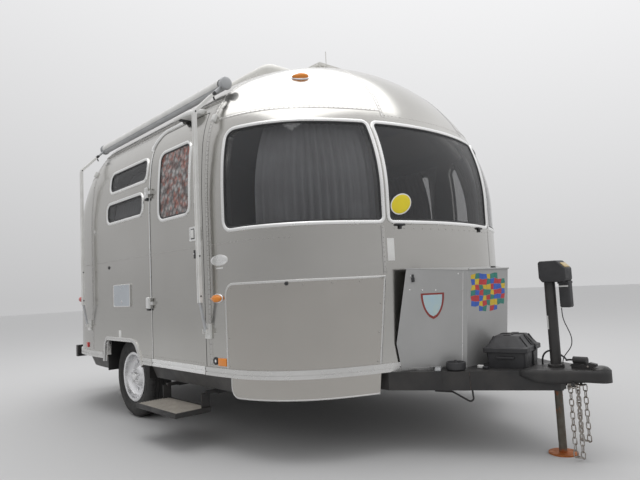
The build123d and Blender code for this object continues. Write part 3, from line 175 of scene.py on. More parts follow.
# a closed profile (aside, out) carried along a path: path + sideways * aside + normal * out, with capped ends
def carryProfile(path, normal, profile, closed=False):
    path, normal = np.asarray(path, float), np.asarray(normal, float)
    if closed:
        tangent = np.roll(path, -1, 0) - np.roll(path, 1, 0)
    else:
        tangent = np.gradient(path, axis=0)
    sideways = unitRows(np.cross(unitRows(tangent), normal))
    profile = np.asarray(profile, float)
    ring = path[:, None] + sideways[:, None] * profile[None, :, :1] + normal[:, None] * profile[None, :, 1:]
    if closed:
        return gridShape(ring, closeU=True, closeV=True)
    middle = ring.mean(1, keepdims=True)
    first, last = np.repeat(middle[:1], ring.shape[1], 1), np.repeat(middle[-1:], ring.shape[1], 1)
    return gridShape(np.concatenate([first, ring, last]), closeV=True)


# a (radius, along) profile turned about an axis through a centre
def turnProfile(profile, centre, axis, steps=48):
    profile = np.asarray(profile, float)
    axis = Vector(axis).normalized()
    across = axis.orthogonal().normalized()
    third = axis.cross(across)
    angle = np.linspace(0, 2 * math.pi, steps, endpoint=False)[:, None, None]
    radial = np.cos(angle) * np.array(across) + np.sin(angle) * np.array(third)
    points = np.array(centre) + radial * profile[None, :, :1] + np.array(axis) * profile[None, :, 1:]
    return gridShape(points, closeU=True)


# a box with rounded long edges: a rounded rectangle carried along x, y or z with its ends drawn in
def softBox(low, high, radius, steps=3, axis=2):
    low, high = np.array(low, float), np.array(high, float)
    order = [(axis + 1) % 3, (axis + 2) % 3, axis]
    size = (high - low)[order]
    radius = min(radius, size.min() / 2 * 0.98)
    corner = np.linspace(0, math.pi / 2, steps + 1)
    turn = np.concatenate([corner + k * math.pi / 2 for k in range(4)])
    cornerX = np.repeat([1, -1, -1, 1], steps + 1) * (size[0] / 2 - radius)
    cornerY = np.repeat([1, 1, -1, -1], steps + 1) * (size[1] / 2 - radius)
    inset = radius * (1 - np.sin(corner))
    drop = radius * (1 - np.cos(corner))
    level = np.concatenate([[0], drop, size[2] - drop[::-1], [size[2]]])
    inset = np.concatenate([[None], inset, inset[::-1], [None]])
    rows = []
    for h, cut in zip(level, inset):
        if cut is None:
            rows.append(np.zeros((len(turn), 3)) + [0, 0, h])
        else:
            r = radius - cut
            rows.append(np.stack([cornerX + r * np.cos(turn), cornerY + r * np.sin(turn), np.full(len(turn), h)], -1))
    points = np.array(rows)
    out = np.empty_like(points)
    centre = (low + high) / 2
    out[..., order[0]] = points[..., 0] + centre[order[0]]
    out[..., order[1]] = points[..., 1] + centre[order[1]]
    out[..., order[2]] = points[..., 2] + low[order[2]]
    return gridShape(out, closeV=True)


def joinShapes(shapes):
    points, faces, start = [], [], 0
    for verts, quads in shapes:
        points.append(verts)
        faces.append(np.asarray(quads) + start)
        start += len(verts)
    return np.concatenate(points), np.concatenate(faces)


# a shape turned by three axes and set at a place
def moved(shape, axes, place):
    return shape[0] @ np.array(axes) + np.array(place), shape[1]


# a flat outline carried straight along one axis, closed by fans at both ends
def prism(outline, low, high, axis=1):
    outline = np.array(outline, float)
    fan = np.repeat(outline.mean(0)[None], len(outline), 0)
    ends = ((fan, low), (outline, low), (outline, high), (fan, high))
    return gridShape(np.array([np.insert(ring, axis, level, 1) for ring, level in ends]), closeV=True)


# profiles of a plain pin about its axis and of a round rod
def pin(radius, low, high):
    return [(0, low), (radius, low), (radius, high), (0, high)]


def roundRod(radius, count):
    return [(radius * math.cos(a), radius * math.sin(a)) for a in np.linspace(0, 2 * math.pi, count, endpoint=False)]


# a path with the way out of it at each point, square to a direction across it
def flatRun(path, across):
    return path, unitRows(np.cross(np.gradient(path, axis=0), across))


# runs of path and normal joined end to end; an overlap leaves out the first points of each later run
def joinRuns(runs, overlap=0):
    return tuple(np.concatenate([run[k][overlap if i else 0:] for i, run in enumerate(runs)]) for k in (0, 1))


# lengths run along a path, and rows read off it at other lengths
def runLengths(path):
    return np.concatenate([[0], np.cumsum(np.linalg.norm(np.diff(path, axis=0), axis=1))])


def rowsAt(at, run, rows):
    return np.stack([np.interp(at, run, rows[:, k]) for k in range(3)], -1)


# one named piece from shapes; doubles are merged and faces turned outwards unless it is an open surface
def makePiece(name, shapes, finish, body="trailer", closed=True, smoothAngle=35, merge=1e-5):
    points, quads = joinShapes(shapes if isinstance(shapes, list) else [shapes])
    mesh = bpy.data.meshes.new(name)
    mesh.vertices.add(len(points))
    mesh.vertices.foreach_set("co", points.astype(np.float32).ravel())
    mesh.loops.add(quads.size)
    mesh.loops.foreach_set("vertex_index", quads.astype(np.int32).ravel())
    mesh.polygons.add(len(quads))
    mesh.polygons.foreach_set("loop_start", np.arange(0, quads.size, quads.shape[1], dtype=np.int32))
    mesh.update(calc_edges=True)
    work = bmesh.new()
    work.from_mesh(mesh)
    bmesh.ops.remove_doubles(work, verts=work.verts, dist=merge)
    bmesh.ops.dissolve_degenerate(work, edges=work.edges, dist=merge / 10)
    if closed:
        bmesh.ops.recalc_face_normals(work, faces=work.faces)
    limit = math.radians(smoothAngle)
    for edge in work.edges:
        edge.smooth = not (edge.is_manifold and edge.calc_face_angle(0) > limit)
    for face in work.faces:
        face.smooth = True
    work.to_mesh(mesh)
    work.free()
    mesh.materials.append(finish)
    piece = bpy.data.objects.new(name, mesh)
    bpy.context.collection.objects.link(piece)
    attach(piece, body)
    return piece


def thicken(piece, thickness, offset=-1.0):
    wall = piece.modifiers.new("wall", "SOLIDIFY")
    wall.thickness, wall.offset = thickness, offset


def softenEdges(piece, width, segments=2):
    bevel = piece.modifiers.new("edges", "BEVEL")
    bevel.width, bevel.segments, bevel.limit_method, bevel.angle_limit = width, segments, "ANGLE", math.radians(30)
    return piece


# finishes

def newFinish(name, colour, metallic=0.0, roughness=0.5, **sockets):
    finish = bpy.data.materials.new(name)
    finish.use_nodes = True
    shader = finish.node_tree.nodes["Principled BSDF"]
    shader.inputs["Base Color"].default_value = (*colour, 1)
    shader.inputs["Metallic"].default_value = metallic
    shader.inputs["Roughness"].default_value = roughness
    for socket, value in sockets.items():
        shader.inputs[socket].default_value = value
    return finish


# a node in a finish's tree; an input takes a value or another node's output
def addNode(finish, kind, inputs, **settings):
    node = finish.node_tree.nodes.new("ShaderNode" + kind)
    for name, value in settings.items():
        setattr(node, name, value)
    for socket, value in inputs.items():
        if isinstance(value, bpy.types.NodeSocket):
            finish.node_tree.links.new(value, node.inputs[socket])
        else:
            node.inputs[socket].default_value = value
    return node


def objectPlace(finish):
    return addNode(finish, "TexCoord", {}).outputs["Object"]


# noise on Object coordinates, stretched by a scale for each axis
def grainNoise(finish, scale, stretch=(1, 1, 1), detail=3.0, roughness=0.5):
    mapping = addNode(finish, "Mapping", {"Scale": stretch, "Vector": objectPlace(finish)})
    noise = {"Scale": scale, "Detail": detail, "Roughness": roughness, "Vector": mapping.outputs["Vector"]}
    return addNode(finish, "TexNoise", noise).outputs["Fac"]


def spread(finish, value, low, high, fromLow=0.3, fromHigh=0.7):
    ends = {"From Min": fromLow, "From Max": fromHigh, "To Min": low, "To Max": high, "Value": value}
    return addNode(finish, "MapRange", ends).outputs["Result"]


def blendColours(finish, factor, first, second):
    first, second = ((*colour, 1) if isinstance(colour, tuple) else colour for colour in (first, second))
    return addNode(finish, "Mix", {0: factor, 6: first, 7: second}, data_type="RGBA").outputs[2]


def feed(finish, socket, value):
    shader = finish.node_tree.nodes["Principled BSDF"]
    finish.node_tree.links.new(value, shader.inputs[socket])


def addBump(finish, height, distance, under=None):
    inputs = {"Distance": distance, "Strength": 1.0, "Height": height}
    if under is not None:
        inputs["Normal"] = under
    return addNode(finish, "Bump", inputs).outputs["Normal"]


# a worn surface: two tones by a broad noise, roughness by another, fine grain in relief
def wornFinish(name, first, second, roughLow, roughHigh, metallic=0.0, broad=6.0, fine=120.0, relief=0.0002,
               stretch=(1, 1, 1), **sockets):
    finish = newFinish(name, first, metallic, **sockets)
    tone = grainNoise(finish, broad, stretch, 4)
    feed(finish, "Base Color", blendColours(finish, spread(finish, tone, 0, 1), first, second))
    feed(finish, "Roughness", spread(finish, grainNoise(finish, broad * 2.3, stretch, 5), roughLow, roughHigh))
    feed(finish, "Normal", addBump(finish, grainNoise(finish, fine, stretch, 2), relief))
    return finish


# the shell: bright sheet with a fine lengthwise grain, slow waves and sheets of slightly different tone
def shellAluminium(name, first, second, roughLow, roughHigh):
    finish = newFinish(name, first, 1.0)
    broad = grainNoise(finish, 0.9, (1, 1, 1.6), 3)
    brushed = grainNoise(finish, 9, (1, 1, 40), 4, 0.6)
    stain = grainNoise(finish, 4, (1, 1, 0.3), 6, 0.7)
    tone = blendColours(finish, spread(finish, broad, 0, 1), first, second)
    dirt = tuple(c * 0.86 for c in first)
    tone = blendColours(finish, spread(finish, stain, 0, 0.35, 0.52, 0.8), tone, dirt)
    feed(finish, "Base Color", tone)
    feed(finish, "Roughness", spread(finish, brushed, roughLow, roughHigh))
    waves = addBump(finish, grainNoise(finish, 1.5, (1, 1, 1.2), 1), 0.0035)
    feed(finish, "Normal", addBump(finish, brushed, 0.000004, waves))
    return finish


shellFinish = shellAluminium("shell_sheet", (0.57, 0.56, 0.535), (0.505, 0.495, 0.47), 0.15, 0.21)
guardFinish = shellAluminium("guard_sheet", (0.54, 0.52, 0.485), (0.48, 0.46, 0.43), 0.22, 0.26)
railFinish = wornFinish("rail_bright", (0.74, 0.735, 0.72), (0.68, 0.675, 0.66), 0.25, 0.31, 1.0, 5, 40, 0.0000005)
frameFinish = wornFinish("frame_bright", (0.93, 0.93, 0.92), (0.89, 0.89, 0.88), 0.26, 0.3, 1.0, 5, 40, 0.0000005)
seamFinish = wornFinish("seam_sheet", (0.6, 0.59, 0.57), (0.5, 0.49, 0.47), 0.2, 0.3, 1.0, 5, 60, 0.00002)
rivetFinish = wornFinish("rivet_heads", (0.5, 0.49, 0.47), (0.38, 0.37, 0.35), 0.25, 0.4, 1.0, 30, 300, 0.000003)
sealantFinish = wornFinish("seam_sealant", (0.16, 0.155, 0.15), (0.24, 0.235, 0.225), 0.45, 0.7, 0.4, 12, 200, 0.00001)
gasketFinish = wornFinish("gasket_rubber", (0.02, 0.02, 0.021), (0.035, 0.035, 0.036), 0.5, 0.7)
blackSteel = wornFinish("black_steel", (0.022, 0.022, 0.023), (0.045, 0.042, 0.04), 0.38, 0.6, 0.0, 7, 90, 0.00022)
bellySteel = wornFinish("belly_sheet", (0.1, 0.1, 0.1), (0.16, 0.155, 0.15), 0.5, 0.75, 0.3, 5, 80, 0.0004)
hingeFinish = wornFinish("hinge_bright", (0.8, 0.8, 0.79), (0.72, 0.72, 0.71), 0.2, 0.28, 1.0, 12, 60, 0.000001)
lockerFinish = wornFinish("locker_paint", (0.47, 0.47, 0.465), (0.42, 0.42, 0.415), 0.3, 0.45, 0.25, 3, 150, 0.00002)
awningFinish = wornFinish("awning_paint", (0.8, 0.8, 0.78), (0.7, 0.7, 0.68), 0.32, 0.5, 0.0, 8, 90, 0.00006)
awningCloth = wornFinish("awning_cloth", (0.58, 0.59, 0.6), (0.5, 0.51, 0.52), 0.6, 0.8, 0.0, 10, 400, 0.00008)
coverWhite = wornFinish("cover_white", (0.78, 0.77, 0.73), (0.68, 0.67, 0.63), 0.4, 0.6, 0.0, 6, 120, 0.0001)
blackPlastic = wornFinish("black_plastic", (0.028, 0.028, 0.03), (0.045, 0.045, 0.048), 0.42, 0.6, 0.0, 12, 500,
                          0.00007)
floorBoard = wornFinish("floor_board", (0.36, 0.27, 0.17), (0.28, 0.2, 0.12), 0.6, 0.8, 0.0, 3, 60, 0.0004, (1, 8, 8))


# jack leg: weathered grey, rust in patches, and a foot that is rust all over; the step is at a height on the leg
def jackLegFinish(name):
    finish = wornFinish(name, (0.16, 0.15, 0.125), (0.1, 0.085, 0.065), 0.45, 0.75, 0.4, 24, 200, 0.00012)
    tone = finish.node_tree.nodes["Principled BSDF"].inputs["Base Color"].links[0].from_socket
    patch = spread(finish, grainNoise(finish, 17, (1, 1, 0.6), 5, 0.6), 0, 1, 0.56, 0.64)
    rusty = blendColours(finish, patch, tone, (0.34, 0.095, 0.025))
    height = addNode(finish, "SeparateXYZ", {"Vector": objectPlace(finish)}).outputs["Z"]
    deepPatch = spread(finish, grainNoise(finish, 60, (1, 1, 1), 4), 0, 1)
    deep = blendColours(finish, deepPatch, (0.52, 0.17, 0.03), (0.33, 0.09, 0.02))
    feed(finish, "Base Color", blendColours(finish, spread(finish, height, 1, 0, 0.009, 0.03), rusty, deep))
    return finish


jackSteel = jackLegFinish("jack_leg_steel")
chainFinish = wornFinish("chain_zinc", (0.5, 0.49, 0.47), (0.27, 0.22, 0.18), 0.3, 0.55, 0.9, 60, 300, 0.00008)
tyreRubber = wornFinish("tyre_rubber", (0.028, 0.028, 0.028), (0.045, 0.043, 0.041), 0.62, 0.85, 0.0, 14, 200, 0.00014)
wheelAlloy = wornFinish("wheel_alloy", (0.84, 0.84, 0.85), (0.79, 0.79, 0.8), 0.24, 0.29, 1.0, 8, 40, 0.0000005)
chromeFinish = wornFinish("chrome_bright", (0.88, 0.88, 0.88), (0.8, 0.8, 0.8), 0.06, 0.14, 1.0, 30, 300, 0.000002)
cordRubber = wornFinish("cord_rubber", (0.022, 0.022, 0.023), (0.035, 0.034, 0.033), 0.45, 0.65, 0.0, 40, 300, 0.00005)
stepTread = wornFinish("step_tread", (0.36, 0.33, 0.29), (0.28, 0.26, 0.23), 0.5, 0.75, 0.0, 12, 200, 0.0002)
curtainFinish = wornFinish("curtain_cloth", (0.5, 0.51, 0.53), (0.4, 0.4, 0.41), 0.85, 0.95, 0.0, 5, 700, 0.00008)
amberLens = newFinish("amber_lens", (0.86, 0.27, 0.015), 0.0, 0.16, **{"Coat Weight": 0.6, "Coat Roughness": 0.06})
redLens = newFinish("red_lens", (0.55, 0.018, 0.015), 0.0, 0.16, **{"Coat Weight": 0.6, "Coat Roughness": 0.06})


# window glass: dark and glossy, with a faint unevenness
def tintedGlass(name, colour, alpha):
    finish = newFinish(name, colour, 0.0, 0.04, Alpha=alpha, IOR=1.95)
    feed(finish, "Normal", addBump(finish, grainNoise(finish, 1.4, (1, 1, 1), 1), 0.002))
    feed(finish, "Roughness", spread(finish, grainNoise(finish, 8), 0.02, 0.07))
    return finish


darkGlass = tintedGlass("dark_glass", (0.016, 0.018, 0.022), 0.34)


# pebbled privacy glass: rounded cells in strong relief over a warm grey
def pebbledGlassFinish(name):
    finish = newFinish(name, (0.3, 0.26, 0.24), 0.0, 0.12, Alpha=0.92, IOR=1.5)
    cells = addNode(finish, "TexVoronoi", {"Scale": 29, "Vector": objectPlace(finish)}).outputs["Distance"]
    tone = grainNoise(finish, 22, (1, 1, 1), 3)
    warm = blendColours(finish, spread(finish, tone, 0, 1, 0.42, 0.58), (0.42, 0.15, 0.11), (0.5, 0.48, 0.47))
    dark = blendColours(finish, spread(finish, cells, 0, 0.85, 0.1, 0.75), warm, (0.05, 0.045, 0.045))
    feed(finish, "Base Color", dark)
    feed(finish, "Normal", addBump(finish, cells, 0.006))
    return finish


pebbledGlass = pebbledGlassFinish("pebbled_glass")

# every CAD node takes its finish
nodeFinish = {
    shellFinish: ["front_cap", "rear_cap", "roof_panel", "curbside_wall", "streetside_wall", "door_panel"],
    guardFinish: ["rock_guards"],
    railFinish: ["rub_rail", "arch_trims", "wall_hatches", "entry_trim", "door_trim"],
    frameFinish: ["window_frames"],
    darkGlass: ["window_glass"],
    pebbledGlass: ["door_glass"],
    hingeFinish: ["door_hinges", "door_hardware"],
    floorBoard: ["floor"],
    blackSteel: ["chassis", "coupler", "jack_tube", "bumper", "step", "wheel_wells", "axle"],
    bellySteel: ["belly_pan"],
    tyreRubber: ["tyre_left", "tyre_right"],
    wheelAlloy: ["rim_left", "rim_right"],
    blackPlastic: ["jack_head", "battery_box"],
    jackSteel: ["jack_leg"],
    lockerFinish: ["locker_body", "locker_lid"],
    awningFinish: ["awning_arms", "awning_roller", "awning_brackets"],
    coverWhite: ["roof_aircon", "roof_fittings"],
    chainFinish: ["safety_chains"],
    amberLens: ["lamps"],
    cordRubber: ["tow_plug", "tow_cable", "jack_wire"],
}
for finish, names in nodeFinish.items():
    for name in names:
        nodes[name].data.materials.clear()
        nodes[name].data.materials.append(finish)
print("finishes given to", sum(len(names) for names in nodeFinish.values()), "nodes")

# cords: the routes of the CAD in metres
towCable = {
    "diameter": 0.010, "length": 0.289,
    "route": [(-0.098, 0.042, 0.4613), (-0.098, 0.042, 0.492), (-0.087, 0.045, 0.522), (-0.061, 0.051, 0.540),
              (-0.028, 0.057, 0.536), (0.002, 0.060, 0.517), (0.027, 0.055, 0.502), (0.042, 0.036, 0.495),
              (0.052, 0.012, 0.497), (0.073, -0.001, 0.5033), (0.098, -0.001, 0.5033)],
}
jackWire = {
    "diameter": 0.005, "length": 0.34,
    "route": [(0.058, -0.004, 0.7807), (0.058, -0.004, 0.752), (0.062, -0.006, 0.724), (0.072, -0.008, 0.696),
              (0.086, -0.011, 0.668), (0.099, -0.014, 0.640), (0.106, -0.018, 0.612), (0.104, -0.022, 0.584),
              (0.092, -0.027, 0.560), (0.076, -0.032, 0.540), (0.062, -0.037, 0.518), (0.056, -0.040, 0.492),
              (0.056, -0.040, 0.4613)],
}


def laidCord(name, cord, finish, node):
    curve = bpy.data.curves.new(name, "CURVE")
    curve.dimensions = "3D"
    curve.bevel_depth = cord["diameter"] / 2
    curve.bevel_resolution = 4
    curve.use_fill_caps = True
    line = curve.splines.new("NURBS")
    line.points.add(len(cord["route"]) - 1)
    for point, place in zip(line.points, cord["route"]):
        point.co = (*place, 1)
    line.order_u = 3
    line.use_endpoint_u = True
    line.resolution_u = 10
    piece = bpy.data.objects.new(name, curve)
    bpy.context.collection.objects.link(piece)
    curve.materials.append(finish)
    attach(piece, "trailer")
    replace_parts(piece, node)
    return piece


towCord = laidCord("tow_cord", towCable, cordRubber, "tow_cable")
wireCord = laidCord("motor_wire", jackWire, cordRubber, "jack_wire")
print("cords laid")


# windows: the loop round each opening, kept on the skin
windowTrim = {
    "frameWidth": 0.022, "frameProud": 0.0095, "gasketWidth": 0.011, "step": 0.02, "wrapStep": 0.014,
    "frontLow": 1.325, "frontHigh": 1.93, "centreHalf": 0.515, "sideFrom": 0.565, "wrapRear": -1.38,
    "wrapCorner": 0.055, "centreCorner": 0.025,
}
# name, rear x, front x, low z, high z, corner radius, side
sideWindows = [
    ("curbUpper", -3.088, -2.417, 1.812, 1.963, 0.05, -1),
    ("curbLower", -3.128, -2.472, 1.562, 1.708, 0.05, -1),
    ("streetGalley", -2.300, -1.620, 1.48, 1.93, 0.055, 1),
    ("streetBed", -3.420, -2.900, 1.48, 1.93, 0.055, 1),
]
rearWindow = {"half": 0.48, "low": 1.4, "high": 1.9, "corner": 0.06}
doorWindow = {"rear": -2.192918, "front": -1.775918, "low": 1.48, "high": 1.95, "corner": 0.055}


def evenSpan(start, end, step):
    count = max(int(round(abs(end - start) / step)), 1)
    return np.linspace(start, end, count + 1)


# a rounded rectangle run round anticlockwise from its low left corner, in even steps
def roundedLoop(left, right, low, high, radius, step=0.02, turns=6):
    bend = np.linspace(0, math.pi / 2, turns + 1)[1:-1]
    across, up = [], []
    for cx, cy, start, line in (
        (right - radius, low + radius, -math.pi / 2, (left + radius, low, right - radius, low)),
        (right - radius, high - radius, 0, (right, low + radius, right, high - radius)),
        (left + radius, high - radius, math.pi / 2, (right - radius, high, left + radius, high)),
        (left + radius, low + radius, math.pi, (left, high - radius, left, low + radius)),
    ):
        count = max(int(round(math.hypot(line[2] - line[0], line[3] - line[1]) / step)), 1)
        across += [np.linspace(line[0], line[2], count + 1), cx + radius * np.cos(start + bend)]
        up += [np.linspace(line[1], line[3], count + 1), cy + radius * np.sin(start + bend)]
    return np.concatenate(across), np.concatenate(up)


def sideLoop(rear, front, low, high, radius, side, proud=0.0, step=0.02):
    if side < 0:
        x, z = roundedLoop(rear, front, low, high, radius, step)
    else:
        x, z = roundedLoop(-front, -rear, low, high, radius, step)
        x = -x
    return sideSkin(x, z, side, proud)


def endLoop(half, low, high, radius, way, proud=0.0, step=0.02):
    y, z = roundedLoop(-half, half, low, high, radius, step)
    return endSkin(y * way, z, way, proud)


# a path round a cap at one height, from a place at the side to one nearer the middle
def wrapEdge(z, edgeX, middleY, side, step, way=1):
    spring, above = frontSpring if way > 0 else rearSpring, max(z - belt, 0)
    rise = evenSpan(math.hypot(edgeX - spring, above), float(riseAt(middleY)[0]), step)
    across, sine = widthAt(rise)
    along = np.sqrt(np.maximum(rise**2 - above**2, 0))
    normal = np.stack([way * sine * along / rise, side * np.sqrt(1 - sine**2), sine * above / rise], -1)
    return np.stack([spring + way * along, side * across, z + 0 * rise], -1), normal


# loop round a wrapped front pane: four edges and four rounded corners
def wrapLoop(side):
    t = windowTrim
    low, high, rearX, frontY = t["frontLow"], t["frontHigh"], t["wrapRear"], t["sideFrom"]
    big, small, step = t["wrapCorner"], t["centreCorner"], t["step"]
    bend = np.linspace(0, math.pi / 2, 7)[1:-1]
    falling, rising = 1 - np.sin(bend), 1 - np.cos(bend)
    bottom, top = (wrapEdge(z, rearX + big, frontY + small, side, t["wrapStep"]) for z in (low, high))
    path, normal = joinRuns([
        bottom,
        endSkin(side * (frontY + small * falling), low + small * rising, 1),
        endSkin(side * frontY, evenSpan(low + small, high - small, step), 1),
        endSkin(side * (frontY + small * rising), high - small * falling, 1),
        [part[::-1] for part in top],
        sideSkin(rearX + big * falling, high - big * rising, side),
        sideSkin(rearX, evenSpan(high - big, low + big, step), side),
        sideSkin(rearX + big * rising, low + big * falling, side),
    ])
    return (path[::-1], normal[::-1]) if side > 0 else (path, normal)


def frameProfile(width, proud):
    return [(-0.001, -0.005), (width, -0.005), (width, proud * 0.35), (width * 0.86, proud * 0.9),
            (width * 0.5, proud), (width * 0.2, proud * 0.92), (-0.001, proud * 0.45)]


def gasketProfile(width):
    return [(-width, -0.006), (0.0, -0.006), (0.0, 0.004), (-width * 0.4, 0.0045), (-width, 0.0005)]


def makeWindows():
    t = windowTrim
    loops = [wrapLoop(-1), wrapLoop(1), endLoop(t["centreHalf"], t["frontLow"], t["frontHigh"], t["centreCorner"], 1),
             endLoop(rearWindow["half"], rearWindow["low"], rearWindow["high"], rearWindow["corner"], -1)]
    loops += [sideLoop(*row[1:6], row[6]) for row in sideWindows]
    section, seal = frameProfile(t["frameWidth"], t["frameProud"]), gasketProfile(t["gasketWidth"])
    bright = makePiece("window_frames_bright", [carryProfile(*loop, section, True) for loop in loops], frameFinish)
    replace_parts(bright, "window_frames")
    makePiece("window_gaskets", [carryProfile(*loop, seal, True) for loop in loops], gasketFinish)
    w = doorWindow
    loop = sideLoop(w["rear"], w["front"], w["low"], w["high"], w["corner"], -1)
    makePiece("door_window_gasket", carryProfile(*loop, seal, True), gasketFinish, "door")
    rail = [(-0.025, 0), (-0.025, 0.0105), (-0.0235, 0.012), (-0.0065, 0.012), (-0.005, 0.0105), (-0.005, 0.0065),
            (0.001, 0.0065), (0.001, 0.0105), (0.0025, 0.012), (0.0235, 0.012), (0.025, 0.0105), (0.025, 0)]
    railPath = sideSkin(evenSpan(-2.342918, -1.615918, 0.02), 0.48, -1)
    shapes = [carryProfile(*loop, section, True), carryProfile(*railPath, [(-a, b) for a, b in rail])]
    trim = makePiece("door_trim_bright", shapes, frameFinish, "door")
    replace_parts(trim, "door_trim")
    print("windows framed:", len(loops) + 1)


makeWindows()


# curtains: a sheet hung in folds behind each pane; depth is a wave along the path that deepens downwards
curtainSet = {"inset": 0.066, "fold": 0.017, "pitch": 0.052, "rows": 14, "foldPoints": 12, "lean": 0.62,
              "thickness": 0.0012, "lap": 0.01}


def hungCurtain(name, path, normal, low, high, seed, holder):
    c = curtainSet
    rng = np.random.default_rng(seed)
    run = runLengths(path)
    fine = np.linspace(0, run[-1], int(run[-1] / c["pitch"] * c["foldPoints"]))
    base, face = rowsAt(fine, run, path), unitRows(rowsAt(fine, run, normal) * [1, 1, 0])
    wander = np.cumsum(rng.normal(0, 0.05, len(fine)))
    wave = np.sin(2 * math.pi * fine / c["pitch"] + wander) * (0.75 + 0.25 * np.sin(fine * 11 + seed))
    heights = np.linspace(high, low, c["rows"])
    depth = c["fold"] * (0.55 + 0.45 * (high - heights) / (high - low))
    points = base[:, None] - face[:, None] * (c["inset"] - wave[:, None, None] * depth[None, :, None])
    points[..., 2] = heights
    # above the belt the cloth leans in with the cap
    points = points - face[:, None] * (np.maximum(heights - belt, 0) ** 2 * c["lean"])[None, :, None]
    piece = makePiece(name, gridShape(points), curtainFinish, closed=False)
    thicken(piece, c["thickness"])


def makeCurtains():
    t = windowTrim
    lap = curtainSet["lap"]
    low, high = t["frontLow"] - 2 * lap, t["frontHigh"] + lap
    for name, side, seed in (("curtain_curb", -1, 3), ("curtain_street", 1, 5)):
        path, normal = wrapEdge(low, t["wrapRear"] + 0.2, t["sideFrom"] - lap, side, t["wrapStep"] / 2)
        hungCurtain(name, path, normal, low, high, seed, "front_cap")
    for number, (name, rear, front, low, high, radius, side) in enumerate(sideWindows):
        path, normal = sideSkin(evenSpan(rear - lap, front + lap, lap), low - lap, side)
        hungCurtain("curtain_" + name, path, normal, low - lap, high + lap, 20 + number,
                    "streetside_wall" if side > 0 else "curbside_wall")
    half, low, high = rearWindow["half"] + lap, rearWindow["low"], rearWindow["high"]
    hungCurtain("curtain_rear", *endSkin(evenSpan(-half, half, lap), low, -1), low - lap, high + lap, 31, "rear_cap")
    print("curtains hung")


makeCurtains()

# seams and rivets; arc holds the heights of the seam beside a cap's middle sheet and how far out it runs
seamSet = {
    "width": 0.024, "wallWidth": 0.03, "capWidth": 0.02, "thick": 0.0009, "wallRows": (-0.007, 0.007), "pitch": 0.03,
    "endGap": 0.012, "rivetRadius": 0.0046, "rivetHeight": 0.0019, "beltRow": 1.245, "footRow": 0.522,
    "arcHigh": (1.967, 2.063, 2.151, 2.228, 2.31, 2.411, 2.5),
    "arcOut": (0.419, 0.403, 0.381, 0.369, 0.347, 0.326, 0.308),
}
rivetSpots = {"trailer": [], "door": []}
seamStrips, seamLines = [], []


# a low dome at each point: rings of six at falling radius and rising height
def rivetHeads(points, normals, radius, height):
    points, normals = np.asarray(points), np.asarray(normals)
    helper = np.where(np.abs(normals[:, 2:]) < 0.8, [[0.0, 0, 1]], [[1.0, 0, 0]])
    first = unitRows(np.cross(normals, helper))
    second = np.cross(normals, first)
    angle = np.arange(6) * math.pi / 3
    ring = first[:, None] * np.cos(angle)[None, :, None] + second[:, None] * np.sin(angle)[None, :, None]
    rows = [points[:, None] + ring * radius * r + normals[:, None] * height * h
            for r, h in ((1, -0.1), (0.82, 0.6), (0.42, 0.95), (0.0, 1.0))]
    faces = gridFaces(4, 6, closeV=True)[None] + (np.arange(len(points)) * 24)[:, None, None]
    return np.stack(rows, 1).reshape(-1, 3), faces.reshape(-1, 4)


# rivets spaced evenly beside a path, shifted sideways on the surface by an offset
def rivetRow(path, normal, offset=0.0, pitch=seamSet["pitch"], body="trailer", lift=0.0):
    run, gap = runLengths(path), seamSet["endGap"]
    count = max(int(round((run[-1] - 2 * gap) / pitch)), 1)
    at = np.linspace(gap, run[-1] - gap, count + 1)
    spots, faces = rowsAt(at, run, path), unitRows(rowsAt(at, run, normal))
    if offset:
        spots = spots + np.cross(unitRows(np.gradient(spots, axis=0)), faces) * offset
    rivetSpots[body].append((spots + faces * lift, faces))


# a flat strip with its rows of rivets and a dark line of sealant beside it
def seamStrip(path, normal, width=seamSet["width"], rows=(0.0,)):
    half, thick = width / 2, seamSet["thick"]
    seamStrips.append(carryProfile(path, normal, [
        (-half, -0.002), (half, -0.002), (half, thick * 0.5), (half - 0.001, thick), (-half + 0.001, thick),
        (-half, thick * 0.5)]))
    seamLines.append(carryProfile(path, normal, [
        (-half - 0.0022, -0.002), (-half + 0.0004, -0.002), (-half + 0.0004, 0.0005), (-half - 0.0022, 0.0004)]))
    for row in rows:
        rivetRow(path, normal, row, lift=thick)


